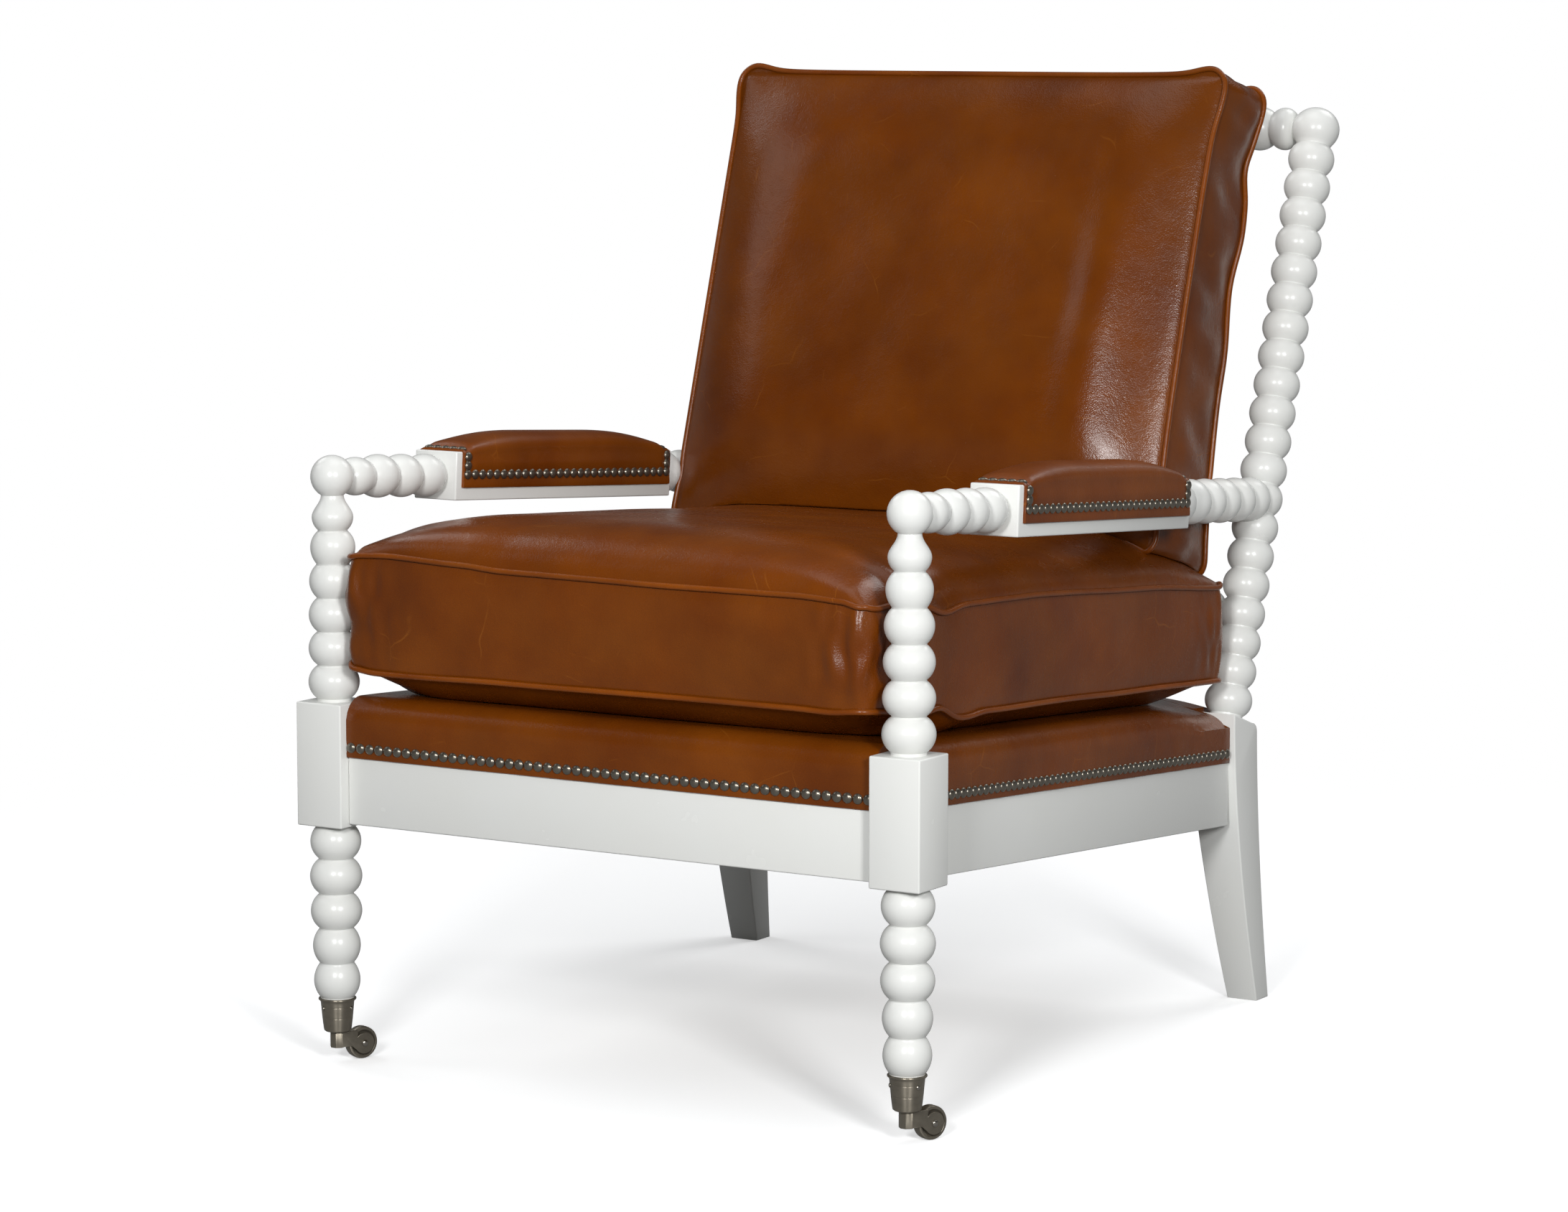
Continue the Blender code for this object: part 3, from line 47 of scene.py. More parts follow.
import bmesh
import bpy
from mathutils import Matrix, Vector, noise

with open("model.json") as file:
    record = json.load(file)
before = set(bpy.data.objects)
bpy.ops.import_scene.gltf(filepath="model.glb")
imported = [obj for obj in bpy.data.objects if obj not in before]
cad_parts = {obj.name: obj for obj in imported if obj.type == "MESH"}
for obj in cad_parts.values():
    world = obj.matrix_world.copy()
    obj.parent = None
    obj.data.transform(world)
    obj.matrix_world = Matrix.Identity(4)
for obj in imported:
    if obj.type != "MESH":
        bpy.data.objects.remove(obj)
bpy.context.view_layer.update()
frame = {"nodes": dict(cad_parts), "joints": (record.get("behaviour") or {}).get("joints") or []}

# Front posts
POST_X = 0.3335
POST_Y = sum(corner.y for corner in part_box("front_post_right")) / 2
BLOCK = 0.055
BLOCK_BOTTOM = 0.2450
BLOCK_TOP = 0.3708
BALL_Z = 0.5971
BALL_RADIUS = 0.0218
BALL_NECK = 0.0114
PEAR_HEIGHT = 0.0355
PEAR_RADIUS = 0.0208
PEAR_NECK = 0.0150
PEAR_FULLEST = 0.62
PEAR_STEPS = 8
UPPER_BEAD_RADII = (0.0226, 0.0240, 0.0248, 0.0253, 0.0258)
UPPER_NECK = 0.0168
COLLAR_RADIUS = 0.0174
COLLAR_HEIGHT = 0.0021
LEG_BEAD_RADII = (0.0257, 0.0264, 0.0260, 0.0242, 0.0235)
LEG_NECK = 0.0176
LEG_END = 0.0665
TURNING_SINK = 0.004

# Back posts
BACK_X = 0.3106
RAKE = math.radians(18.2)
BACK_BASE = (0.7226, 0.3118)
BACK_PITCH = 0.0317
BACK_RADIUS = 0.0251
BACK_NECK = 0.0184
BASE_BEAD_RADIUS = 0.0255
BASE_BEAD_LIFT = 0.0194
BACK_BEADS = 20
CREST_RISE = 0.0182
CREST_BALL_RADIUS = 0.0258
CREST_FLATTEN = 0.93
ARM_BEAD = 7
LOW_RAIL_BEAD = 3
BACK_POST_SINK = 0.006
CREST_LIFT = BASE_BEAD_LIFT + (BACK_BEADS - 0.5) * BACK_PITCH + CREST_RISE

# Rear legs
LEG_WIDTH = 0.049
FOOT_WIDTH = 0.0354
LEG_TOP_FRONT = 0.6945
LEG_TOP_BACK = 0.750
LEG_SHOULDER = 0.010
LEG_STRAIGHT = 0.3125
LEG_SWEEP_FRONT = 0.0635
LEG_SWEEP_BACK = 0.0367
LEG_SWEEP_POWER = 1.65
LEG_TAPER_TOP = 0.1925
LEG_STEPS = 22

# Seat frame
SLOPE = 0.068
RAIL_BOTTOM = 0.2476
RAIL_TOP = 0.3476
RAIL_THICK = 0.025
RAIL_TENON = 0.004
FRONT_RAIL_FACE = -0.0152
SIDE_RAIL_FACE = 0.3266
REAR_RAIL_FACE = 0.744
GAP = 0.0003
EASED_EDGE = 0.0016

# Upholstered deck
LEATHER = 0.0025
BOARD_THICK = 0.009
FOAM_LEAST = 0.0015
DECK_EDGE = 0.3770
SKIRT_BOTTOM = 0.3160
SHOULDER = 0.026
SHOULDER_LEAST = 0.006
DECK_CROWN = 0.004
CORNER_DROP = 0.013
WELT_STANDS_OUT = 0.45
NAIL_LINE = SKIRT_BOTTOM + 0.0100
SKIRT_LIFTS = (0.022, 0.014, 0.007, 0.003, 0.0, -0.003, -0.006)
NAIL_SUNK = 0.0008
NAIL_MARGIN = 0.0058
SIDE_NAIL_MARGIN = 0.0062

# Seat cushion
SEAT_HALF_WIDTH = 0.321
SEAT_NECK_HALF = 0.301
SEAT_FRONT = -0.0225
SEAT_NOTCH = 0.040
SEAT_NOTCH_LEAD = 0.012
SEAT_NOTCH_LENGTH = 0.022
SEAT_CORNER = 0.014
SEAT_REAR = 0.692
SEAT_LOW_WELT = 0.4040
SEAT_HIGH_WELT = 0.5140
SEAT_SIDE_ROUND = 0.150
SEAT_END_ROUND = 0.130
SEAT_UNDER_ROUND = 0.10
REST_CLEAR = 0.0008

# Rise of its seams over their levels, as (place, rise): along the front by x, along the sides by depth
HIGH_FRONT_SEAM = ((-0.321, 0.002), (-0.296, 0.004), (-0.285, 0.009), (-0.250, 0.0105), (-0.160, 0.0075),
                   (-0.110, 0.004), (0.110, 0.002), (0.224, 0.002), (0.276, -0.001), (0.2975, -0.008),
                   (0.321, 0.001))
LOW_FRONT_SEAM = ((-0.321, 0.012), (-0.304, 0.011), (-0.293, 0.004), (-0.264, 0.001), (-0.110, 0.002),
                  (0.224, 0.004), (0.261, 0.003), (0.298, 0.006), (0.321, 0.002))
HIGH_SIDE_SEAM = ((0.0, -0.010), (0.067, -0.012), (0.084, -0.0125), (0.129, -0.0045), (0.214, -0.003),
                  (0.283, -0.001), (0.500, -0.003), (0.692, -0.008))
LOW_SIDE_SEAM = ((0.0, 0.008), (0.075, 0.008), (0.114, -0.006), (0.134, -0.006), (0.164, -0.002),
                 (0.400, 0.000), (0.692, 0.001))

# Back cushion
BACK_CUSHION_RAKE = math.radians(17.2)
BACK_CUSHION_FOOT = (0.5715, 0.5025)
BACK_CUSHION_HEIGHT = 0.516
BACK_CUSHION_HALF = 0.2925
BACK_CUSHION_BOXING = 0.092
BACK_CUSHION_LOW_BOXING = 0.125
BACK_CUSHION_CORNER = 0.018
BACK_CUSHION_BOW = 0.004
BACK_SIDE_ROUND = 0.125
BACK_END_ROUND = 0.135
BACK_REAR_ROUND = 0.13
BACK_CUSHION_CLEAR = 0.0010
SPINDLE_CLEAR = 0.0015
# Outward pull of its rear seam, as (height up, pull)
REAR_SEAM_PULL = ((0.0, 0.0), (0.180, -0.001), (0.235, 0.001), (0.310, -0.0035), (0.370, 0.003),
                  (0.395, 0.002), (0.440, -0.005), (0.470, 0.001), (0.510, 0.003))
# Its face's shallow folds, as (place across, rise, width, height up)
FACE_FOLDS = ((0.205, 0.0042, 0.034, 0.25), (0.163, -0.0034, 0.030, 0.27), (0.262, -0.0026, 0.022, 0.28))

# Arms
ARM_BLOCK_WIDTH = 0.0536
ARM_BLOCK_HEIGHT = 0.0503
ARM_BLOCK_START = 0.1711
ARM_BLOCK_LENGTH = 0.3915
ARM_FIRST_BEAD = 0.0355
ARM_FIRST_RADIUS = 0.0195
ARM_FRONT_RADIUS = 0.0222
ARM_REAR_RADIUS = 0.0238
ARM_FRONT_BEADS = 3
ARM_REAR_BEADS = 6
ARM_NECK = 0.0152
ARM_END_NECK = 0.0110
ARM_END_SINK = 0.010
ARM_BLOCK_SINK = 0.003
PAD_FRONT_INSET = 0.0095
PAD_REAR_INSET = 0.0060
PAD_SKIRT = 0.0368
PAD_EDGE = 0.003
PAD_END_BORDER = 0.009
PAD_ROLL = 0.008
PAD_NAIL_LIFT = 0.0135
PAD_NAIL_INSET = 0.0065
PAD_NAIL_SUNK = 0.0003
PAD_END_NAIL_RISE = 0.0018
PAD_END_NAIL_MARGIN = 0.0090
PAD_END_NAIL_PITCH = 0.0112

# Back rails and spindles
CROSS_RADIUS = 0.0240
CROSS_NECK = 0.0168
CROSS_END_NECK = 0.0125
CROSS_END_BEAD = 0.0265
CROSS_END_RADIUS = 0.0232
CROSS_BEADS = 15
CROSS_REACH = BACK_X - 0.012
CROSS_SHOULDER = BACK_X - BACK_RADIUS + 0.002
SPINDLE_XS = (-0.2106, -0.0702, 0.0702, 0.2106)
SPINDLE_RADIUS = 0.0155
SPINDLE_NECK = 0.0098
SPINDLE_TENON = 0.0085
SPINDLE_BEADS = 13
SPINDLE_END = 0.014
SPINDLE_SHOULDER = CROSS_RADIUS + 0.001
SPINDLE_SIDES = 28
SPINDLE_STEPS = 12

# Casters
CUP_RIM_TOP = 0.0665
CUP_RIM_RADIUS = 0.0193
CUP_TOP_RADIUS = 0.0170
CUP_LOW_RADIUS = 0.0142
CUP_BOTTOM = 0.0317
CUP_TAPER_DROP = 0.0050
CUP_GROOVE_DROPS = (0.0090, 0.0203)
CUP_GROOVE_DEPTH = 0.00010
LEG_END_NECK = CUP_RIM_RADIUS - 0.0022
# The leg's end inside the cup, as (radius, height)
LEG_IN_CUP = [(CUP_TOP_RADIUS - 0.0020, CUP_RIM_TOP - 0.008), (CUP_LOW_RADIUS - 0.0026, CUP_BOTTOM + 0.004),
              (0.0, CUP_BOTTOM + 0.003)]
BARREL_RADIUS = 0.0080
BARREL_BOTTOM = 0.0146
BARREL_FLUTE = 0.075
STEM_RADIUS = 0.0038
STEM_TOP = 0.052
TRAIL = 0.0268
WHEEL_RADIUS = 0.0165
WHEEL_WIDTH = 0.011
WHEEL_CLEAR = 0.0006
CHEEK_RADIUS = 0.011
CHEEK_THICK = 0.0022
AXLE_RADIUS = 0.0021
AXLE_HEAD_RADIUS = 0.0034
AXLE_HEAD_HEIGHT = 0.0018
SCREW_Z = 0.0560
SCREW_COUNT = 3
SCREW_SUNK = 0.0004
SCREW_HEAD_RADIUS = 0.0023
SCREW_HEAD_HEIGHT = 0.0013
# Half the section of a wheel, as (radius, depth under its face): hub, dish, tread
WHEEL_SECTION = (
    (0.0025, 0.0), (0.0052, 0.0), (0.0058, 0.0004), (0.0066, 0.0018), (0.0080, 0.0024), (0.0112, 0.0024),
    (0.0124, 0.0018), (0.0131, 0.0004), (0.0136, 0.0), (WHEEL_RADIUS - 0.0016, 0.0),
    (WHEEL_RADIUS - 0.0006, 0.0004), (WHEEL_RADIUS - 0.0001, 0.0014), (WHEEL_RADIUS, 0.0028))

# Studio: the colour of the floor's light on the chair, its haze, the lamps and the camera
FLOOR_BOUNCE = (0.22, 0.22, 0.22)
FLOOR_HAZE = 0.36
SHADOW_FADE = (0.55, 1.9)
BACKDROP_RADIUS = 8.0
BACKDROP_BEND = 2.5
SKY_COLOR = (0.94, 0.97, 1.0, 1.0)
SKY_LEVEL = 0.27
SKY_IN_REFLECTIONS = 0.05
LAMP_CENTRE = (0.0, 0.0, 0.45)
LAMP_AIM = (0.0, 0.0, 0.5)
TOP_LAMP = ((0.1, -0.1, 3.2), (1.8, 1.8), 15)
# Lamps round the chair, as (name, azimuth, elevation, distance, size, watts); the top one by its place
LAMPS = (
    ("near_lamp", 17, 18, 4.3, (0.62, 0.62), 79), ("side_lamp", 48, 17, 4.3, (0.62, 0.75), 88),
    ("left_lamp", -62, 34, 3.6, (1.2, 1.2), 7), ("rear_lamp", 160, 46, 3.7, (1.6, 1.6), 30),
    ("far_lamp", 262, 40, 3.7, (1.4, 1.4), 18))
CAMERA_AZIMUTH = 31.309
CAMERA_ELEVATION = 7.104
CAMERA_ROLL = math.radians(0.092)
CAMERA_DISTANCE = 4.7553
CAMERA_AIM = (0.0143, 0.3, 0.4577)
SENSOR_WIDTH = 36.0

# Fineness of the turnings and the soft forms
SIDES = 48
BEAD_STEPS = 18
NAIL_SIDES = 18
NAIL_STEPS = 7
NECK_FLAT = 0.0006
SEAT_MESH = (104, 112, 22)
BACK_MESH = (96, 88, 20)
PAD_MESH = (26, 132, 26)
DECK_COLUMNS = 90
DECK_ROWS = (22, 66, 24)
FINE_MERGE = 0.00001
SIDE_WORDS = ((-1, "left"), (1, "right"))


class WoodSettings(bpy.types.PropertyGroup):
    """Painted woodwork."""

    paint: bpy.props.FloatVectorProperty(
        name="Paint", description="Colour of the painted frame", subtype="COLOR", size=3, min=0, max=1,
        default=(0.755, 0.762, 0.742))
    gloss: bpy.props.FloatProperty(
        name="Paint roughness", description="Roughness of the paint's surface", subtype="FACTOR",
        min=0, max=1, default=0.27)


class LeatherSettings(bpy.types.PropertyGroup):
    """Leather on the cushions, the deck and the arm pads."""

    body: bpy.props.FloatVectorProperty(
        name="Leather", description="Main colour of the leather", subtype="COLOR", size=3, min=0, max=1,
        default=(0.190, 0.0415, 0.0003))
    deep: bpy.props.FloatVectorProperty(
        name="Darker patches", description="Colour where the dye lies deep", subtype="COLOR", size=3,
        min=0, max=1, default=(0.086, 0.0165, 0.0005))
    pale: bpy.props.FloatVectorProperty(
        name="Stretched patches", description="Colour where the leather is stretched or rubbed",
        subtype="COLOR", size=3, min=0, max=1, default=(0.32, 0.105, 0.012))
    welt_radius: bpy.props.FloatProperty(
        name="Welt radius", description="Radius of the piping sewn round the cushions",
        subtype="DISTANCE", unit="LENGTH", min=0.001, max=0.008, default=0.0030)
    fold_depth: bpy.props.FloatProperty(
        name="Fold depth", description="Depth of the folds near the cushions' corners",
        subtype="DISTANCE", unit="LENGTH", min=0, max=0.01, default=0.0062)


class CushionSettings(bpy.types.PropertyGroup):
    """How full the loose cushions and the pads are."""

    seat_crown: bpy.props.FloatProperty(
        name="Seat crown", description="Rise of the seat cushion over its upper welt",
        subtype="DISTANCE", unit="LENGTH", min=0, max=0.12, default=0.055)
    seat_sag: bpy.props.FloatProperty(
        name="Seat sag", description="Drop of the seat cushion under its lower welt",
        subtype="DISTANCE", unit="LENGTH", min=0, max=0.08, default=0.034)
    back_crown: bpy.props.FloatProperty(
        name="Back crown", description="Rise of the back cushion's front over its welt",
        subtype="DISTANCE", unit="LENGTH", min=0, max=0.10, default=0.038)
    pad_crown: bpy.props.FloatProperty(
        name="Arm pad crown", description="Rise of an arm pad along its middle",
        subtype="DISTANCE", unit="LENGTH", min=0, max=0.04, default=0.0135)


class NailSettings(bpy.types.PropertyGroup):
    """Domed nails round the deck and the arm pads."""

    head_radius: bpy.props.FloatProperty(
        name="Head radius", description="Radius of a nail's head", subtype="DISTANCE", unit="LENGTH",
        min=0.002, max=0.01, default=0.0054)
    dome: bpy.props.FloatProperty(
        name="Dome height", description="Height of a nail's head", subtype="DISTANCE", unit="LENGTH",
        min=0.001, max=0.008, default=0.0034)
    pitch: bpy.props.FloatProperty(
        name="Pitch", description="Distance from nail to nail on the deck", subtype="DISTANCE",
        unit="LENGTH", min=0.005, max=0.05, default=0.01135)
    pad_pitch: bpy.props.FloatProperty(
        name="Arm pitch", description="Distance from nail to nail on the arm pads", subtype="DISTANCE",
        unit="LENGTH", min=0.005, max=0.05, default=0.0125)
    metal: bpy.props.FloatVectorProperty(
        name="Nail metal", description="Colour of the nails", subtype="COLOR", size=3, min=0, max=1,
        default=(0.25, 0.225, 0.185))


class CasterSettings(bpy.types.PropertyGroup):
    """Casters on the front legs."""

    metal: bpy.props.FloatVectorProperty(
        name="Caster metal", description="Colour of the casters' plated metal", subtype="COLOR", size=3,
        min=0, max=1, default=(0.34, 0.305, 0.245))
    brushing: bpy.props.FloatProperty(
        name="Brushing", description="Roughness of the plated metal", subtype="FACTOR", min=0, max=1,
        default=0.40)


class StudioSettings(bpy.types.PropertyGroup):
    """Floor, light and camera."""

    floor: bpy.props.FloatVectorProperty(
        name="Floor", description="Colour of the floor", subtype="COLOR", size=3, min=0, max=1,
        default=(0.94, 0.945, 0.95))
    reflection: bpy.props.FloatProperty(
        name="Backdrop in reflections", description="How bright the backdrop looks in glossy surfaces",
        subtype="FACTOR", min=0, max=1, default=0.26)
    lamp_level: bpy.props.FloatProperty(
        name="Lamp level", description="Scale of the lamps' power", min=0, max=10, default=1.0)
    lens: bpy.props.FloatProperty(
        name="Lens", description="Focal length on a 36 mm sensor", subtype="DISTANCE_CAMERA", min=20,
        max=300, default=106.85)


def settings(name):
    """One of the scene's groups of settings."""
    return getattr(bpy.context.scene, "spool_chair_" + name)


# Shader node groups

def add(tree, kind, place, **values):
    """A node with its place and its own values set."""
    made = tree.nodes.new(kind)
    made.location = place
    for key, value in values.items():
        setattr(made, key, value)
    return made


def maths(tree, operation, place, first, second=None, clamp=False):
    """A Math node whose inputs are sockets or numbers."""
    made = add(tree, "ShaderNodeMath", place, operation=operation, use_clamp=clamp)
    for socket, value in zip(made.inputs, (first, second)):
        if value is None:
            continue
        if isinstance(value, (int, float)):
            socket.default_value = value
        else:
            tree.links.new(value, socket)
    return made.outputs[0]


def blend_colors(tree, place, factor, first, second):
    """A colour between two, which are sockets or tuples."""
    made = add(tree, "ShaderNodeMix", place, data_type="RGBA")
    tree.links.new(factor, made.inputs["Factor"])
    for socket, value in ((made.inputs[6], first), (made.inputs[7], second)):
        if isinstance(value, bpy.types.NodeSocket):
            tree.links.new(value, socket)
        else:
            socket.default_value = (*value, 1.0)
    return made.outputs[2]


def open_group(name, inputs, outputs):
    """A new node group with named number inputs and outputs, or None and the group if it is there."""
    known = bpy.data.node_groups.get(name)
    if known:
        return None, known
    tree = bpy.data.node_groups.new(name, "ShaderNodeTree")
    for label, default in inputs:
        socket = tree.interface.new_socket(label, in_out="INPUT", socket_type="NodeSocketFloat")
        socket.default_value = default
    for label in outputs:
        tree.interface.new_socket(label, in_out="OUTPUT", socket_type="NodeSocketFloat")
    return tree, tree


def patches_group():
    """Soft uneven patches, from 0 to 1."""
    tree, group = open_group("Soft patches", (("Size", 0.1), ("Contrast", 1.0), ("Seed", 0.0)), ("Mask",))
    if tree is None:
        return group
    given = add(tree, "NodeGroupInput", (-900, 0))
    where = add(tree, "ShaderNodeTexCoord", (-900, 200))
    scale = maths(tree, "DIVIDE", (-700, 0), 1.0, given.outputs["Size"])
    broad = add(tree, "ShaderNodeTexNoise", (-450, 150), noise_dimensions="4D")
    broad.inputs["Detail"].default_value = 3.0
    broad.inputs["Roughness"].default_value = 0.55
    tree.links.new(where.outputs["Object"], broad.inputs["Vector"])
    tree.links.new(scale, broad.inputs["Scale"])
    tree.links.new(given.outputs["Seed"], broad.inputs["W"])
    centred = maths(tree, "SUBTRACT", (-250, 100), broad.outputs["Fac"], 0.5)
    stretched = maths(tree, "MULTIPLY", (-100, 100), centred, given.outputs["Contrast"])
    raised = maths(tree, "ADD", (50, 100), stretched, 0.5, clamp=True)
    out = add(tree, "NodeGroupOutput", (250, 100))
    tree.links.new(raised, out.inputs["Mask"])
    return group


def grain_group():
    """Small cells with soft creases between them, as a height from 0 to 1."""
    tree, group = open_group("Pebble grain", (("Size", 0.001), ("Softness", 0.6)), ("Height",))
    if tree is None:
        return group
    given = add(tree, "NodeGroupInput", (-900, 0))
    where = add(tree, "ShaderNodeTexCoord", (-900, 200))
    scale = maths(tree, "DIVIDE", (-700, 0), 1.0, given.outputs["Size"])
    cells = add(tree, "ShaderNodeTexVoronoi", (-450, 200), feature="SMOOTH_F1")
    cells.inputs["Smoothness"].default_value = 0.6
    tree.links.new(where.outputs["Object"], cells.inputs["Vector"])
    tree.links.new(scale, cells.inputs["Scale"])
    soft = add(tree, "ShaderNodeTexNoise", (-450, -100))
    soft.inputs["Detail"].default_value = 4.0
    tree.links.new(where.outputs["Object"], soft.inputs["Vector"])
    half = maths(tree, "MULTIPLY", (-600, -150), scale, 0.4)
    tree.links.new(half, soft.inputs["Scale"])
    sharp = maths(tree, "SUBTRACT", (-250, 50), 1.0, cells.outputs["Distance"])
    part = maths(tree, "MULTIPLY", (-250, -100), soft.outputs["Fac"], given.outputs["Softness"])
    both = maths(tree, "ADD", (-50, 0), sharp, part)
    out = add(tree, "NodeGroupOutput", (200, 0))
    tree.links.new(both, out.inputs["Height"])
    return group


def rub_group():
    """Sparse thin scratch lines, from 0 to 1."""
    tree, group = open_group("Rub lines", (("Size", 0.05), ("Width", 0.02), ("Amount", 0.5)), ("Mask",))
    if tree is None:
        return group
    given = add(tree, "NodeGroupInput", (-1100, 0))
    where = add(tree, "ShaderNodeTexCoord", (-1300, 250))
    bend = add(tree, "ShaderNodeTexNoise", (-1100, 350))
    bend.inputs["Scale"].default_value = 14.0
    tree.links.new(where.outputs["Object"], bend.inputs["Vector"])
    warp = add(tree, "ShaderNodeVectorMath", (-900, 350), operation="MULTIPLY_ADD")
    warp.inputs[1].default_value = (0.035, 0.035, 0.035)
    tree.links.new(bend.outputs["Color"], warp.inputs[0])
    tree.links.new(where.outputs["Object"], warp.inputs[2])
    scale = maths(tree, "DIVIDE", (-900, 0), 1.0, given.outputs["Size"])
    lines = add(tree, "ShaderNodeTexVoronoi", (-700, 200), feature="DISTANCE_TO_EDGE")
    tree.links.new(warp.outputs[0], lines.inputs["Vector"])
    tree.links.new(scale, lines.inputs["Scale"])
    near = maths(tree, "DIVIDE", (-500, 200), lines.outputs["Distance"], given.outputs["Width"])
    thin = maths(tree, "SUBTRACT", (-350, 200), 1.0, near, clamp=True)
    gate = add(tree, "ShaderNodeTexNoise", (-700, -100))
    gate.inputs["Detail"].default_value = 2.0
    tree.links.new(where.outputs["Object"], gate.inputs["Vector"])
    tree.links.new(maths(tree, "MULTIPLY", (-900, -150), scale, 1.7), gate.inputs["Scale"])
    kept = maths(tree, "SUBTRACT", (-500, -100), gate.outputs["Fac"], 0.56)
    kept = maths(tree, "MULTIPLY", (-350, -100), kept, 9.0, clamp=True)
    shown = maths(tree, "MULTIPLY", (-150, 100), thin, kept)
    shown = maths(tree, "MULTIPLY", (0, 100), shown, given.outputs["Amount"], clamp=True)
    out = add(tree, "NodeGroupOutput", (200, 100))
    tree.links.new(shown, out.inputs["Mask"])
    return group


def use_group(tree, group, place, **values):
    """A node group placed in a material with its own values."""
    made = add(tree, "ShaderNodeGroup", place, node_tree=group)
    for label, value in values.items():
        made.inputs[label].default_value = value
    return made.outputs[0]


def fresh_material(name):
    """An empty material with its Principled shader."""
    made = bpy.data.materials.new(name)
    made.use_nodes = True
    return made, made.node_tree, made.node_tree.nodes["Principled BSDF"]


def relief(tree, shader, height, strength, distance):
    """Bump from a height socket into the shader's normal."""
    bump = add(tree, "ShaderNodeBump", (-250, -350))
    bump.inputs["Strength"].default_value = strength
    bump.inputs["Distance"].default_value = distance
    tree.links.new(height, bump.inputs["Height"])
    tree.links.new(bump.outputs["Normal"], shader.inputs["Normal"])


def span(tree, mask, low, high, place):
    """A value that runs from low to high with a mask."""
    made = add(tree, "ShaderNodeMapRange", place)
    made.inputs["To Min"].default_value = low
    made.inputs["To Max"].default_value = high
    tree.links.new(mask, made.inputs["Value"])
    return made.outputs["Result"]


def paint_finish():
    """White semi-gloss paint with a faint orange peel and hardly uneven tone."""
    made, tree, shader = fresh_material("white_paint")
    wood = settings("wood")
    broad = use_group(tree, patches_group(), (-900, 300), Size=0.09, Contrast=1.6, Seed=2.0)
    warm = tuple(part * tint for part, tint in zip(wood.paint, (0.985, 0.98, 0.965)))
    tree.links.new(blend_colors(tree, (-500, 300), broad, wood.paint, warm), shader.inputs["Base Color"])
    fine = use_group(tree, patches_group(), (-900, 0), Size=0.04, Contrast=1.0, Seed=7.0)
    tree.links.new(span(tree, fine, wood.gloss - 0.01, wood.gloss + 0.01, (-500, 0)),
                   shader.inputs["Roughness"])
    peel = use_group(tree, grain_group(), (-900, -300), Size=0.0035, Softness=1.2)
    relief(tree, shader, peel, 0.035, 0.0004)
    shader.inputs["IOR"].default_value = 1.47
    return made


def leather_finish(name="tan_leather", painted_light_scale=1.0, seed=0.0, roughness=0.28):
    """Dyed pull-up leather: cloudy tone, pale rubs, fine scratches, pebble grain and slight creases; its
    colours scale up for a painted highlight or down for painted shade.
    """
    made, tree, shader = fresh_material(name)
    hide = settings("leather")
    body, deep, pale = (tuple(part * painted_light_scale for part in color) for color in (hide.body, hide.deep, hide.pale))
    clouds = use_group(tree, patches_group(), (-1300, 500), Size=0.17, Contrast=2.4, Seed=seed)
    tone = blend_colors(tree, (-900, 500), clouds, deep, body)
    spots = use_group(tree, patches_group(), (-1300, 250), Size=0.022, Contrast=1.8, Seed=seed + 3.0)
    faint = maths(tree, "MULTIPLY", (-1050, 250), spots, 0.28)
    tone = blend_colors(tree, (-700, 450), faint, tone, deep)
    stretch = use_group(tree, patches_group(), (-1300, 0), Size=0.10, Contrast=3.0, Seed=seed + 9.0)
    stretch = maths(tree, "MULTIPLY", (-1050, 0), stretch, 0.16)
    tone = blend_colors(tree, (-500, 400), stretch, tone, pale)
    lines = use_group(tree, rub_group(), (-1300, -250), Size=0.085, Width=0.009, Amount=0.34)
    tone = blend_colors(tree, (-300, 400), lines, tone, pale)
    tree.links.new(tone, shader.inputs["Base Color"])
    tree.links.new(span(tree, spots, roughness - 0.05, roughness + 0.05, (-500, 50)),
                   shader.inputs["Roughness"])
    pebble = use_group(tree, grain_group(), (-1300, -500), Size=0.0013, Softness=0.9)
    crease = use_group(tree, patches_group(), (-1300, -700), Size=0.011, Contrast=1.0, Seed=seed + 5.0)
    crease = maths(tree, "MULTIPLY", (-1050, -700), crease, 3.0)
    relief(tree, shader, maths(tree, "ADD", (-700, -500), pebble, crease), 0.30, 0.00042)
    shader.inputs["IOR"].default_value = 1.42
    shader.inputs["Specular IOR Level"].default_value = 0.34
    shader.inputs["Coat Weight"].default_value = 0.08
    shader.inputs["Coat Roughness"].default_value = 0.16
    return made


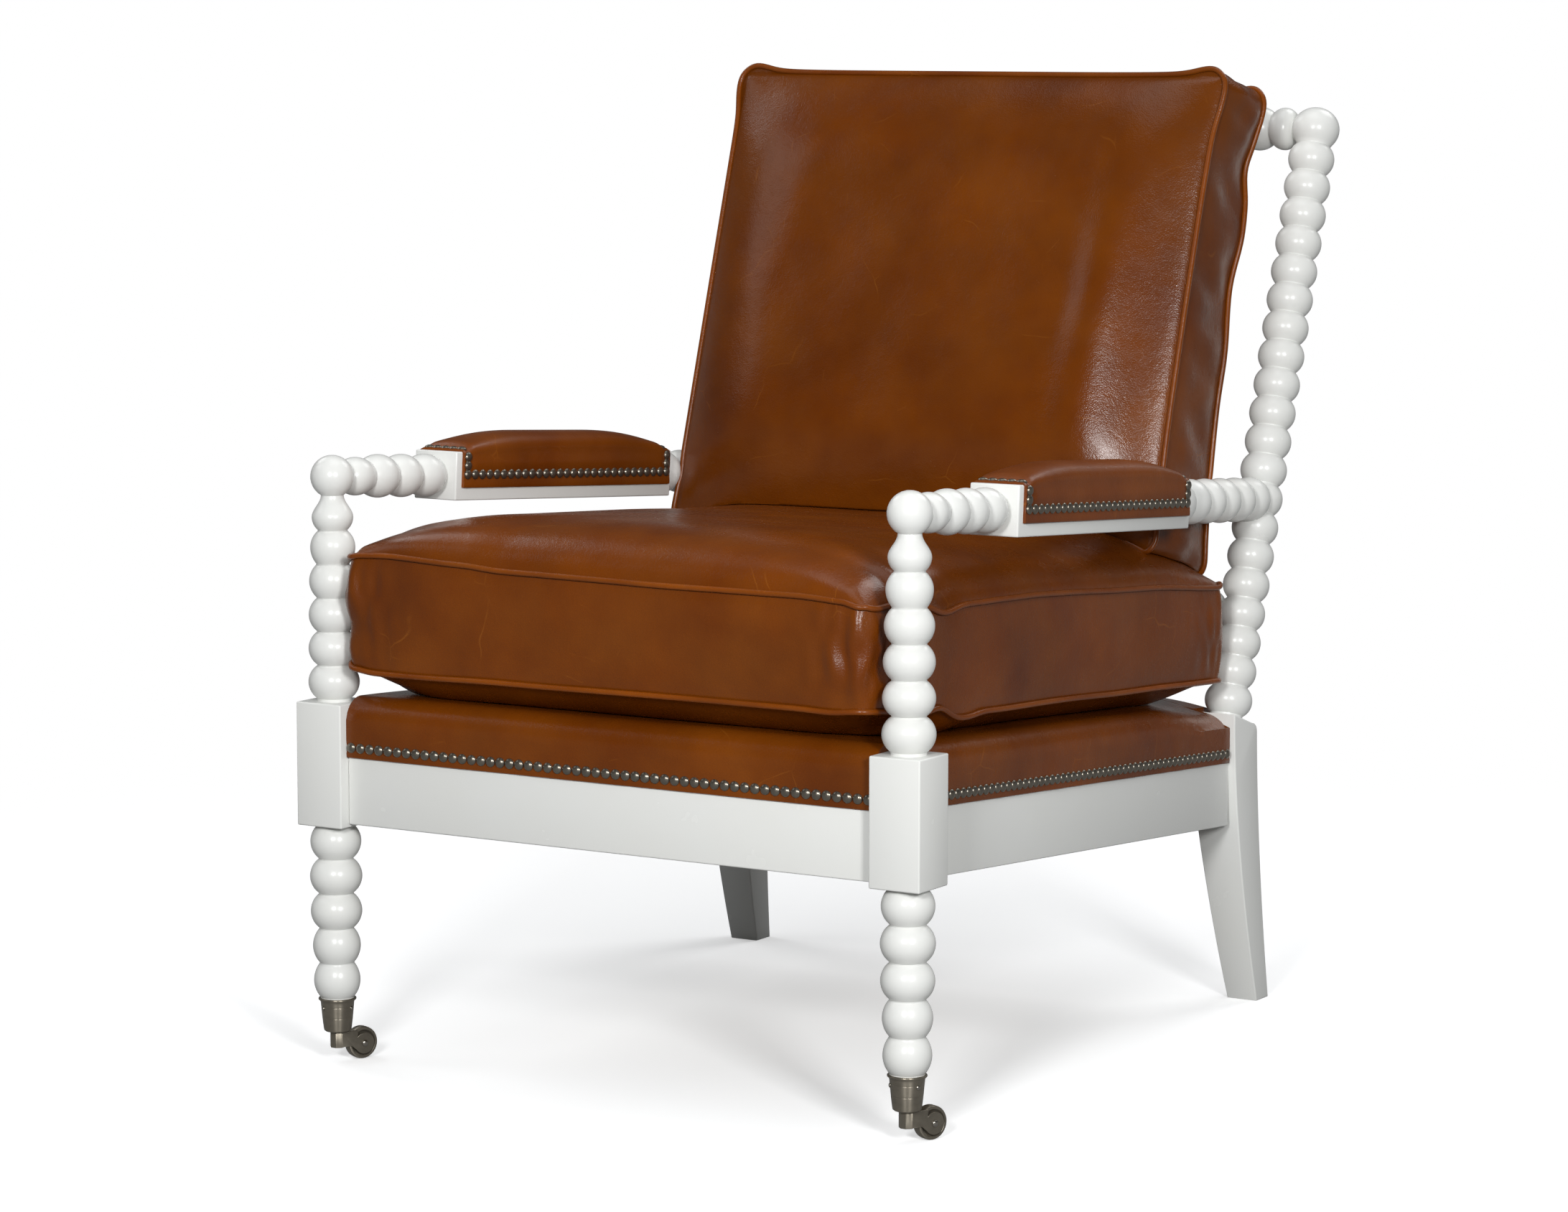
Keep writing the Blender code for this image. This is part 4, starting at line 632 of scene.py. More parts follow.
def metal_finish(name, color, roughness, metallic=1.0, grain=0.12, brushed=0.0):
    """Plated metal with a cloudy tarnish and light scratches, brushed round its upright axis or not."""
    made, tree, shader = fresh_material(name)
    dark = tuple(part * 0.55 for part in color)
    cloud = use_group(tree, patches_group(), (-900, 300), Size=0.009, Contrast=0.9, Seed=1.0)
    tree.links.new(blend_colors(tree, (-500, 300), cloud, dark, color), shader.inputs["Base Color"])
    lines = use_group(tree, rub_group(), (-900, 0), Size=0.012, Width=0.03, Amount=0.6)
    tree.links.new(span(tree, lines, roughness, roughness + grain, (-500, 0)), shader.inputs["Roughness"])
    fine = use_group(tree, grain_group(), (-900, -300), Size=0.0006, Softness=1.0)
    relief(tree, shader, fine, grain, 0.00008)
    shader.inputs["Metallic"].default_value = metallic
    if brushed:
        around_axis = add(tree, "ShaderNodeTangent", (-500, -500), direction_type="RADIAL", axis="Z")
        tree.links.new(around_axis.outputs["Tangent"], shader.inputs["Tangent"])
        shader.inputs["Anisotropic"].default_value = brushed
        shader.inputs["Anisotropic Rotation"].default_value = 0.25
    return made


def wood_finish():
    """Plain unpainted hardwood with its grain."""
    made, tree, shader = fresh_material("bare_wood")
    broad = use_group(tree, patches_group(), (-900, 300), Size=0.03, Contrast=2.0, Seed=4.0)
    tree.links.new(blend_colors(tree, (-500, 300), broad, (0.42, 0.28, 0.15), (0.52, 0.37, 0.21)),
                   shader.inputs["Base Color"])
    shader.inputs["Roughness"].default_value = 0.62
    fine = use_group(tree, grain_group(), (-900, -300), Size=0.002, Softness=1.5)
    relief(tree, shader, fine, 0.25, 0.0003)
    return made


def foam_finish():
    """Pale open foam."""
    made, tree, shader = fresh_material("foam")
    broad = use_group(tree, patches_group(), (-900, 300), Size=0.01, Contrast=2.0, Seed=6.0)
    tree.links.new(blend_colors(tree, (-500, 300), broad, (0.70, 0.64, 0.46), (0.80, 0.76, 0.60)),
                   shader.inputs["Base Color"])
    shader.inputs["Roughness"].default_value = 0.92
    fine = use_group(tree, grain_group(), (-900, -300), Size=0.0015, Softness=0.5)
    relief(tree, shader, fine, 0.6, 0.0008)
    return made


def finish(name):
    """A named finish, made once."""
    known = bpy.data.materials.get("look_" + name)
    if known:
        return known
    makers = {
        "white_paint": paint_finish,
        "tan_leather": leather_finish,
        # The back cushion's copy of the leather is darker: painted shade.
        "tan_leather_back_painted_shade": lambda: leather_finish("tan_leather_back_painted_shade", 0.84, 21.0, 0.24),
        # The welts' copy of the leather is paler: a painted highlight.
        "tan_leather_welt_painted_highlight": lambda: leather_finish("tan_leather_welt_painted_highlight", 1.25, 33.0, 0.30),
        "tan_leather_arm": lambda: leather_finish("tan_leather_arm", 1.04, 47.0, 0.42),
        "bare_wood": wood_finish,
        "foam": foam_finish,
        "dark_nickel": lambda: metal_finish("dark_nickel", settings("caster").metal,
                                            settings("caster").brushing, 0.85, brushed=0.8),
        "aged_nail": lambda: metal_finish("aged_nail", settings("nails").metal, 0.30, 0.85, grain=0.02),
        "screw_steel": lambda: metal_finish("screw_steel", (0.46, 0.43, 0.38), 0.28),
    }
    made = makers[name]()
    made.name = "look_" + name
    return made


# Making pieces

def piece(name, bm, finish_name, body="root", nodes=(), sharp=38):
    """A finished object from a bmesh, riding on its body."""
    mesh = bpy.data.meshes.new(name)
    bm.normal_update()
    bm.to_mesh(mesh)
    bm.free()
    mesh.shade_smooth()
    mesh.set_sharp_from_angle(angle=math.radians(sharp))
    obj = bpy.data.objects.new(name, mesh)
    bpy.context.scene.collection.objects.link(obj)
    obj.data.materials.append(finish(finish_name))
    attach(obj, body)
    if nodes:
        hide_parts(*nodes)
    return obj


def placed(bm, matrix):
    """A bmesh moved by a matrix."""
    bmesh.ops.transform(bm, matrix=matrix, verts=bm.verts[:])
    return bm


def absorb(bm, other, matrix=Matrix.Identity(4)):
    """Add one bmesh to another, moved by a matrix."""
    placed(other, matrix)
    mesh = bpy.data.meshes.new("passing")
    other.to_mesh(mesh)
    other.free()
    bm.from_mesh(mesh)
    bpy.data.meshes.remove(mesh)


def lathe(profile, sides=SIDES, closed=False):
    """A turning about Z from (radius, height) points down its outer side or, closed, round its section."""
    bm = bmesh.new()
    verts = [bm.verts.new((radius, 0.0, height)) for radius, height in profile]
    edges = [bm.edges.new(pair) for pair in zip(verts, verts[1:])]
    if closed:
        edges.append(bm.edges.new((verts[-1], verts[0])))
    bmesh.ops.spin(bm, geom=verts + edges, cent=(0, 0, 0), axis=(0, 0, 1), angle=math.tau, steps=sides,
                   use_merge=True)
    bmesh.ops.remove_doubles(bm, verts=bm.verts[:], dist=FINE_MERGE)
    bmesh.ops.recalc_face_normals(bm, faces=bm.faces[:])
    return bm


def bead(top, bottom, radius, neck_top, neck_bottom, steps=BEAD_STEPS):
    """Points down one bead: an arc that swells to the full radius between narrow flats at its necks."""
    half = (top - bottom) / 2 - NECK_FLAT
    points = [(neck_top, top)]
    for i in range(steps + 1):
        turn = 1 - 2 * i / steps
        rise = radius - (neck_top if turn > 0 else neck_bottom)
        arc = (rise * rise + half * half) / (2 * rise)
        angle = math.asin(min(half / arc, 1.0)) * turn
        points.append((radius - arc + arc * math.cos(angle), (top + bottom) / 2 + arc * math.sin(angle)))
    points.append((neck_bottom, bottom))
    return points


def beads(top, bottom, radii, neck_top, neck, neck_bottom, steps=BEAD_STEPS):
    """A run of beads of equal height, each with its own radius."""
    pitch = (top - bottom) / len(radii)
    necks = [neck_top] + [neck] * (len(radii) - 1) + [neck_bottom]
    points = []
    for i, radius in enumerate(radii):
        run = bead(top - i * pitch, top - (i + 1) * pitch, radius, necks[i], necks[i + 1], steps)
        points += run if i == 0 else run[1:]
    return points


def ball_cap(centre, radius, neck, steps=14, flatten=1.0):
    """Points down a ball from its pole to the neck under it."""
    end = math.pi - math.asin(neck / radius)
    return [(radius * math.sin(end * i / steps), centre + flatten * radius * math.cos(end * i / steps))
            for i in range(steps + 1)]


def dome(radius, height, steps, base=0.0):
    """Points down a domed head from its pole to its rim."""
    angles = [math.pi / 2 * i / steps for i in range(steps + 1)]
    return [(radius * math.sin(angle), base + height * math.cos(angle)) for angle in angles]


def mirrored_down(points):
    """A turning's upper points mirrored below z = 0, in the order that leads on down."""
    return [(radius, -height) for radius, height in reversed(points)]


def eased_box(low, high, edge=EASED_EDGE, segments=3):
    """A box between two corners with rounded edges."""
    bm = bmesh.new()
    bmesh.ops.create_cube(bm, size=1.0)
    low, high = Vector(low), Vector(high)
    for vert in bm.verts:
        vert.co = Vector(low[i] + (vert.co[i] + 0.5) * (high[i] - low[i]) for i in range(3))
    bmesh.ops.bevel(bm, geom=bm.edges[:], offset=edge, segments=segments, affect="EDGES", profile=0.5)
    return bm


def plate(outline, thickness, edge=0.0, segments=2):
    """A flat outline in XY given thickness about z = 0, with rounded rims."""
    bm = bmesh.new()
    face = bm.faces.new([bm.verts.new((x, y, -thickness / 2)) for x, y in outline])
    moved = bmesh.ops.extrude_face_region(bm, geom=[face])["geom"]
    for vert in moved:
        if isinstance(vert, bmesh.types.BMVert):
            vert.co.z += thickness
    bmesh.ops.recalc_face_normals(bm, faces=bm.faces[:])
    if edge:
        rims = [e for e in bm.edges if abs(e.verts[0].co.z - e.verts[1].co.z) < FINE_MERGE]
        bmesh.ops.bevel(bm, geom=rims, offset=edge, segments=segments, affect="EDGES", profile=0.5)
    return bm


def at(x, depth, z):
    """A point from its depth behind the front posts' axis."""
    return Vector((x, POST_Y + depth, z))


def lean():
    """A rotation that tips Z back by the back posts' rake."""
    return Matrix.Rotation(-RAKE, 4, "X")


def back_point(number):
    """The centre of one back post bead, over the chair's middle; the crest ball is the last."""
    along = CREST_LIFT if number == BACK_BEADS else BASE_BEAD_LIFT + number * BACK_PITCH
    return at(0.0, BACK_BASE[0] + along * math.sin(RAKE), BACK_BASE[1] + along * math.cos(RAKE))


def arm_line(side):
    """The front ball's centre, the direction of the arm and its length to the back post."""
    ball = at(side * POST_X, 0.0, BALL_Z)
    reach = back_point(ARM_BEAD) + Vector((side * BACK_X, 0.0, 0.0)) - ball
    return ball, reach.normalized(), reach.length


def arm_matrix(side, along):
    """A frame on the arm: X across, Y along to the rear, Z up."""
    ball, way, _ = arm_line(side)
    turn = way.to_track_quat("Y", "Z").to_matrix().to_4x4()
    return Matrix.Translation(ball + way * along) @ turn


def front_post(side):
    """Ball, pear, beads, block, leg beads and the foot that goes into the caster cup."""
    pear_top = BALL_Z - math.sqrt(BALL_RADIUS ** 2 - BALL_NECK ** 2)
    pear_bottom = pear_top - PEAR_HEIGHT
    fullest = pear_top - PEAR_FULLEST * PEAR_HEIGHT
    upper = ball_cap(BALL_Z, BALL_RADIUS, BALL_NECK)
    for i in range(1, PEAR_STEPS + 1):
        ease = (1 - math.cos(math.pi * i / PEAR_STEPS)) / 2
        upper.append((BALL_NECK + (PEAR_RADIUS - BALL_NECK) * ease,
                      pear_top - (pear_top - fullest) * i / PEAR_STEPS))
    lower = bead(2 * fullest - pear_bottom, pear_bottom, PEAR_RADIUS, PEAR_NECK, PEAR_NECK)
    upper += [point for point in lower if point[1] < fullest - FINE_MERGE]
    upper += beads(pear_bottom, BLOCK_TOP + COLLAR_HEIGHT, UPPER_BEAD_RADII, PEAR_NECK, UPPER_NECK,
                   COLLAR_RADIUS)[1:]
    upper += [(COLLAR_RADIUS, BLOCK_TOP - TURNING_SINK), (0.0, BLOCK_TOP - TURNING_SINK)]
    leg = [(0.0, BLOCK_BOTTOM + TURNING_SINK), (COLLAR_RADIUS, BLOCK_BOTTOM + TURNING_SINK)]
    leg += beads(BLOCK_BOTTOM, LEG_END, LEG_BEAD_RADII, COLLAR_RADIUS, LEG_NECK, LEG_END_NECK)
    leg += LEG_IN_CUP
    bm = bmesh.new()
    place = Matrix.Translation(at(side * POST_X, 0.0, 0.0))
    absorb(bm, lathe(upper), place)
    absorb(bm, lathe(leg), place)
    half = BLOCK / 2
    absorb(bm, eased_box((-half, -half, BLOCK_BOTTOM), (half, half, BLOCK_TOP)), place)
    return bm


def leg_edge(height, top, sweep):
    """Depth of one swept edge of the rear leg at a height."""
    fall = max(LEG_STRAIGHT - height, 0.0) / LEG_STRAIGHT
    return top + sweep * fall ** LEG_SWEEP_POWER


def rear_leg(side):
    """The square block and swept leg, as a bevelled plate standing on edge."""
    drop = math.tan(RAKE)
    top_front = BACK_BASE[1] + (BACK_BASE[0] - LEG_TOP_FRONT) * drop
    top_back = BACK_BASE[1] - (LEG_TOP_BACK - LEG_SHOULDER - BACK_BASE[0]) * drop
    outline = []
    for i in range(LEG_STEPS + 1):
        height = top_front * (1 - i / LEG_STEPS)
        outline.append((leg_edge(height, LEG_TOP_FRONT, LEG_SWEEP_FRONT), height))
    for i in range(LEG_STEPS + 1):
        height = (top_back - LEG_SHOULDER) * i / LEG_STEPS
        outline.append((leg_edge(height, LEG_TOP_BACK, LEG_SWEEP_BACK), height))
    for turn in range(15, 91, 15):
        angle = math.radians(turn)
        outline.append((LEG_TOP_BACK - LEG_SHOULDER + LEG_SHOULDER * math.cos(angle),
                        top_back - LEG_SHOULDER + LEG_SHOULDER * math.sin(angle)))
    bm = plate(outline, LEG_WIDTH, EASED_EDGE, 3)
    bmesh.ops.bisect_plane(bm, geom=bm.verts[:] + bm.edges[:] + bm.faces[:], plane_co=(0, LEG_TAPER_TOP, 0),
                           plane_no=(0, 1, 0))
    for vert in bm.verts:
        depth, height, across = vert.co
        taper = max(LEG_TAPER_TOP - height, 0.0) / LEG_TAPER_TOP * (LEG_WIDTH - FOOT_WIDTH)
        inner = 0.5 - across / LEG_WIDTH
        vert.co = at(side * (BACK_X + across + taper * inner), depth, height)
    bmesh.ops.recalc_face_normals(bm, faces=bm.faces[:])
    return bm


def back_post(side):
    """The raked bobbin turning with its crest ball, on its leg."""
    last_neck = CREST_LIFT - CREST_RISE
    base_top = BASE_BEAD_LIFT + BACK_PITCH / 2
    points = ball_cap(CREST_LIFT, CREST_BALL_RADIUS, BACK_NECK, 16, CREST_FLATTEN)
    points[-1] = (BACK_NECK, last_neck)
    points += beads(last_neck, base_top, [BACK_RADIUS] * (BACK_BEADS - 1), BACK_NECK, BACK_NECK,
                    BACK_NECK)[1:]
    points += bead(base_top, BASE_BEAD_LIFT - BACK_PITCH / 2, BASE_BEAD_RADIUS, BACK_NECK, COLLAR_RADIUS)[1:]
    points += [(COLLAR_RADIUS, -BACK_POST_SINK), (0.0, -BACK_POST_SINK)]
    bm = bmesh.new()
    absorb(bm, lathe(points), Matrix.Translation(at(side * BACK_X, *BACK_BASE)) @ lean())
    absorb(bm, rear_leg(side))
    return bm


def cross_rail(number):
    """A bobbin rail between the back posts."""
    inner = CROSS_SHOULDER - CROSS_END_BEAD
    middle = beads(inner, -inner, [CROSS_RADIUS] * CROSS_BEADS, CROSS_NECK, CROSS_NECK, CROSS_NECK)
    end = [(0.0, CROSS_REACH), (CROSS_END_NECK, CROSS_REACH)]
    end += bead(CROSS_SHOULDER, inner, CROSS_END_RADIUS, CROSS_END_NECK, CROSS_NECK)
    points = end + middle[1:] + mirrored_down(end[:-1])
    turn = Vector((1, 0, 0)).to_track_quat("Z", "Y").to_matrix().to_4x4()
    return placed(lathe(points), Matrix.Translation(back_point(number)) @ turn)


def spindle(x):
    """One thin bobbin spindle between the two back rails."""
    low = back_point(LOW_RAIL_BEAD)
    length = (back_point(BACK_BEADS) - low).length
    points = [(0.0, length - SPINDLE_END), (SPINDLE_TENON, length - SPINDLE_END)]
    points += beads(length - SPINDLE_SHOULDER, SPINDLE_SHOULDER, [SPINDLE_RADIUS] * SPINDLE_BEADS,
                    SPINDLE_TENON, SPINDLE_NECK, SPINDLE_TENON, SPINDLE_STEPS)
    points += [(SPINDLE_TENON, SPINDLE_END), (0.0, SPINDLE_END)]
    place = Matrix.Translation(low + Vector((x, 0.0, 0.0))) @ lean()
    return placed(lathe(points, SPINDLE_SIDES), place)


def arm(side):
    """Turned front and rear runs with the square block between them."""
    ball, way, length = arm_line(side)
    block_end = ARM_BLOCK_START + ARM_BLOCK_LENGTH
    first_top = math.sqrt(BALL_RADIUS ** 2 - ARM_END_NECK ** 2)
    first_end = first_top + ARM_FIRST_BEAD
    front = [(0.0, -ARM_END_SINK), (ARM_END_NECK, -ARM_END_SINK)]
    front += bead(-first_top, -first_end, ARM_FIRST_RADIUS, ARM_END_NECK, ARM_NECK)
    front += beads(-first_end, -ARM_BLOCK_START, [ARM_FRONT_RADIUS] * ARM_FRONT_BEADS, ARM_NECK,
                   ARM_NECK, ARM_NECK)[1:]
    sunk_front = ARM_BLOCK_START + ARM_BLOCK_SINK
    front += [(ARM_NECK, -sunk_front), (0.0, -sunk_front)]
    rear = [(0.0, ARM_BLOCK_SINK - block_end), (ARM_NECK, ARM_BLOCK_SINK - block_end)]
    arm_end = length - ARM_END_SINK
    rear += beads(-block_end, -arm_end, [ARM_REAR_RADIUS] * ARM_REAR_BEADS, ARM_NECK, ARM_NECK, ARM_NECK)
    rear.append((0.0, -arm_end))
    turn = Matrix.Translation(ball) @ way.to_track_quat("-Z", "Y").to_matrix().to_4x4()
    bm = bmesh.new()
    absorb(bm, lathe(front), turn)
    absorb(bm, lathe(rear), turn)
    half = Vector((ARM_BLOCK_WIDTH, ARM_BLOCK_LENGTH, ARM_BLOCK_HEIGHT)) / 2
    absorb(bm, eased_box(-half, half), arm_matrix(side, ARM_BLOCK_START + ARM_BLOCK_LENGTH / 2))
    return bm


def slanted(bm):
    """A form set behind the front posts' axis and turned from the level to the seat's slant."""
    for vert in bm.verts:
        vert.co = at(vert.co.x, vert.co.y, vert.co.z - SLOPE * vert.co.y)
    return bm


# Soft forms

def eased(value):
    """A number from 0 to 1 that starts and ends gently."""
    value = min(max(value, 0.0), 1.0)
    return value * value * (3 - 2 * value)


def swell(distance, reach, power=2.2):
    """How far a stuffed face has risen at a distance from its seam."""
    return 1 - (1 - min(max(distance / reach, 0.0), 1.0)) ** power


def hump(value, middle, width):
    """A smooth bump round a middle value."""
    return math.exp(-((value - middle) / width) ** 2)


def read_knots(place, knots):
    """A value at a place, easing from one knot of (place, value) to the next."""
    for (low, first), (high, second) in zip(knots, knots[1:]):
        if place <= high:
            return first + (second - first) * eased((place - low) / (high - low))
    return knots[-1][1]


def rounded(x, y, half_x, half_y, radius):
    """A point of a rectangle moved in so that the rectangle's corners are round."""
    over_x, over_y = abs(x) - (half_x - radius), abs(y) - (half_y - radius)
    if over_x <= 0 or over_y <= 0:
        return x, y
    shrink = max(over_x, over_y) / math.hypot(over_x, over_y)
    return (math.copysign(half_x - radius + over_x * shrink, x),
            math.copysign(half_y - radius + over_y * shrink, y))


def spaced(count, crowd=0.35):
    """Values from -1 to 1 that lie closer together towards both ends."""
    steps = [2 * i / count - 1 for i in range(count + 1)]
    return [t * (1 + crowd - crowd * t * t) for t in steps]


def stitch(bm, high, low):
    """Walls between two borders."""
    for n, vert in enumerate(high):
        after = (n + 1) % len(high)
        bm.faces.new((vert, low[n], low[after], high[after]))


def sewn_form(mesh_counts, plan, upper, lower, wall, crowd=0.35):
    """A closed form with an upper and a lower face joined by a wall, and the rings of its seams.

    mesh_counts are its columns, rows and wall rows. plan takes u, v from -1 to 1 and gives a
    point of the outline's plane. upper and lower take that point and give heights. wall takes a
    point straight between the seams, its outward way and its share of the way down, and gives the
    point on the wall.
    """
    columns, rows, wall_rows = mesh_counts
    bm = bmesh.new()
    grids = []
    for height in (upper, lower):
        grid = []
        for v in spaced(rows, crowd):
            line = []
            for u in spaced(columns, crowd):
                x, y = plan(u, v)
                line.append(bm.verts.new((x, y, height(x, y))))
            grid.append(line)
        grids.append(grid)
    for grid, flip in ((grids[0], False), (grids[1], True)):
        for j in range(rows):
            for i in range(columns):
                loop = [grid[j][i], grid[j][i + 1], grid[j + 1][i + 1], grid[j + 1][i]]
                bm.faces.new(loop[::-1] if flip else loop)
    around = [(i, 0) for i in range(columns)] + [(columns, j) for j in range(rows)]
    around += [(i, rows) for i in range(columns, 0, -1)] + [(0, j) for j in range(rows, 0, -1)]
    rings = [[grids[0][j][i] for i, j in around]]
    count = len(around)
    for k in range(1, wall_rows):
        share = k / wall_rows
        ring = []
        for n, (i, j) in enumerate(around):
            top, bottom = grids[0][j][i].co, grids[1][j][i].co
            before = rings[0][n - 1].co
            after = rings[0][(n + 1) % count].co
            along = (after - before).normalized()
            out = Vector((along.y, -along.x, 0.0)).normalized()
            ring.append(bm.verts.new(wall(top.lerp(bottom, share), out, share)))
        rings.append(ring)
    rings.append([grids[1][j][i] for i, j in around])
    for high, low in zip(rings, rings[1:]):
        stitch(bm, high, low)
    bmesh.ops.recalc_face_normals(bm, faces=bm.faces[:])
    return bm, rings[0], rings[-1]


def ripple(point, size, stretch=(1, 1, 1), seed=0.0):
    """Smooth noise about 0 at a point."""
    where = Vector((point.x * stretch[0], point.y * stretch[1], point.z * stretch[2])) / size
    return noise.noise(where + Vector((seed, seed * 1.7, seed * 0.6)))


def welt(name, ring, out):
    """A round piping along a seam, pushed out from it a little at each point."""
    radius = settings("leather").welt_radius
    curve = bpy.data.curves.new(name, "CURVE")
    curve.dimensions = "3D"
    curve.bevel_depth = radius
    curve.bevel_resolution = 3
    spline = curve.splines.new("POLY")
    spline.points.add(len(ring) - 1)
    for point, place, way in zip(spline.points, ring, out):
        point.co = (*(place + way * radius * WELT_STANDS_OUT), 1.0)
    spline.use_cyclic_u = True
    drawn = bpy.data.objects.new(name, curve)
    bpy.context.scene.collection.objects.link(drawn)
    bpy.context.view_layer.update()
    mesh = bpy.data.meshes.new_from_object(drawn.evaluated_get(bpy.context.evaluated_depsgraph_get()))
    bpy.data.objects.remove(drawn, do_unlink=True)
    bpy.data.curves.remove(curve)
    bm = bmesh.new()
    bm.from_mesh(mesh)
    bpy.data.meshes.remove(mesh)
    bmesh.ops.remove_doubles(bm, verts=bm.verts[:], dist=FINE_MERGE)
    # The welts take the paler copy of the leather, a painted highlight.
    return piece(name, bm, "tan_leather_welt_painted_highlight")


def smoothed(points, rounds=3):
    """A closed run of points with its small steps averaged away."""
    for _ in range(rounds):
        points = [(points[i - 1] + points[i] * 2 + points[(i + 1) % len(points)]) / 4
                  for i in range(len(points))]
    return points


def seam(bm, ring):
    """The smoothed course of a seam and the outward way at each of its points."""
    bm.normal_update()
    return (smoothed([vert.co.copy() for vert in ring]),
            smoothed([vert.normal.copy() for vert in ring], 6))


def seat_half(y):
    """Half the seat cushion's width at a depth: narrow between the front posts, wider behind them."""
    widen = eased((y - SEAT_NOTCH + SEAT_NOTCH_LEAD) / SEAT_NOTCH_LENGTH)
    return SEAT_NECK_HALF + (SEAT_HALF_WIDTH - SEAT_NECK_HALF) * widen


def seat_plan(u, v):
    """The seat cushion's plan with its rounded corners."""
    half_depth = (SEAT_REAR - SEAT_FRONT) / 2
    middle = (SEAT_FRONT + SEAT_REAR) / 2
    half = seat_half(middle + v * half_depth)
    x, local = rounded(u * half, v * half_depth, half, half_depth, SEAT_CORNER)
    return x, local + middle


def seat_edges(x, y):
    """Distances from a plan point to the seat cushion's sides and to its front or rear."""
    return max(seat_half(y) - abs(x), 0.0), max(min(y - SEAT_FRONT, SEAT_REAR - y), 0.0)


def seat_seam(x, y, low):
    """Wander of a seat cushion seam over its level: along the front by x, along the sides by depth."""
    at_front, at_side = (LOW_FRONT_SEAM, LOW_SIDE_SEAM) if low else (HIGH_FRONT_SEAM, HIGH_SIDE_SEAM)
    side, _ = seat_edges(x, y)
    front_share = hump(max(y - SEAT_FRONT, 0.0), 0.0, 0.050)
    side_share = hump(side, 0.0, 0.060) * eased((y - 0.030) / 0.060)
    wave = 0.0010 * ripple(Vector((x, y, 0.3 if low else 0.9)), 0.11, seed=5.0)
    front_rise = read_knots(x, at_front) * front_share * (1 - side_share)
    return front_rise + read_knots(y, at_side) * side_share + wave


def seat_upper(x, y):
    """Height of the seat cushion's top, before the slant."""
    crown = settings("cushion").seat_crown
    side, end = seat_edges(x, y)
    puff = (swell(side, SEAT_SIDE_ROUND, 2.5) * swell(end, SEAT_END_ROUND, 2.5)) ** 0.60
    middle = 0.84 + 0.16 * max(1 - (x / 0.30) ** 2, 0.0)
    groove = -0.0024 * hump(min(side, end), 0.0, 0.0050)
    drift = 0.0022 * ripple(Vector((x, y, 0.0)), 0.17, seed=2.0) * puff
    return SEAT_HIGH_WELT + seat_seam(x, y, False) + crown * puff * middle + groove + drift


def seat_lower(x, y):
    """Height of the seat cushion's underside, before the slant, resting on the deck."""
    side, end = seat_edges(x, y)
    puff = swell(side, SEAT_UNDER_ROUND) * swell(end, SEAT_UNDER_ROUND)
    free = SEAT_LOW_WELT + seat_seam(x, y, True) - settings("cushion").seat_sag * puff
    return max(free, deck_upper(x, y) + REST_CLEAR)


def seat_top_world(x, depth):
    """Height above the floor of the seat cushion's top at a place."""
    return seat_upper(x, depth) - SLOPE * depth


def seat_form():
    """The boxed seat cushion with its folds, and its two seams."""
    folds = settings("leather").fold_depth

    def wall(point, out, share):
        arch = math.sin(math.pi * share)
        belly = 0.0042 * arch ** 0.8
        corner = max(hump(abs(point.x), 0.300, 0.055) * hump(point.y, SEAT_FRONT, 0.06),
                     0.5 * hump(abs(point.x), 0.315, 0.05) * hump(point.y, SEAT_REAR, 0.06))
        pucker = ripple(point, 0.0135, (1.0, 1.0, 0.42), 11.0) * corner * folds * arch ** 0.5
        slow = ripple(point, 0.085, (1, 1, 1.4), 4.0) * 0.0022 * arch
        tuck = -0.0012 * (hump(share, 0.0, 0.05) + hump(share, 1.0, 0.05))
        return point + out * (belly + pucker + slow + tuck)

    bm, high, low = sewn_form(SEAT_MESH, seat_plan, seat_upper, seat_lower, wall)
    return slanted(bm), high, low


def back_local(point):
    """A point of the leaning back cushion: X across, Y up the lean, Z forward."""
    forward = Vector((0.0, -math.cos(BACK_CUSHION_RAKE), math.sin(BACK_CUSHION_RAKE)))
    up = Vector((0.0, math.sin(BACK_CUSHION_RAKE), math.cos(BACK_CUSHION_RAKE)))
    return at(point.x, *BACK_CUSHION_FOOT) + up * point.y + forward * point.z


def back_plan(u, v):
    """The back cushion's front outline: nearly straight sides, ears at the top corners."""
    half_height = BACK_CUSHION_HEIGHT / 2
    height = (v + 1) * half_height
    flare = (0.0035 if v > 0 else 0.0055) * v ** 4
    half = BACK_CUSHION_HALF + flare + 0.0050 * hump(height, 0.490, 0.026)
    x, y = rounded(u * half, v * half_height, half, half_height, BACK_CUSHION_CORNER)
    if v > 0:
        hollow = 0.008 * (u ** 6 - 0.25)
        ear = 0.0035 * hump(abs(u), 0.93, 0.06)
        y += (hollow + ear) * eased((v - 0.4) / 0.6)
    return x, y + half_height


def back_boxing(y):
    """Thickness of the back cushion at its seams."""
    share = min(max(y / BACK_CUSHION_HEIGHT, 0.0), 1.0)
    return BACK_CUSHION_BOXING + (BACK_CUSHION_LOW_BOXING - BACK_CUSHION_BOXING) * (1 - share) ** 3


def back_edges(x, y):
    """Distances to the back cushion's sides and to its top or foot."""
    half = BACK_CUSHION_HALF + BACK_CUSHION_BOW
    return max(half - abs(x), 0.0), max(min(y, BACK_CUSHION_HEIGHT - y), 0.0)


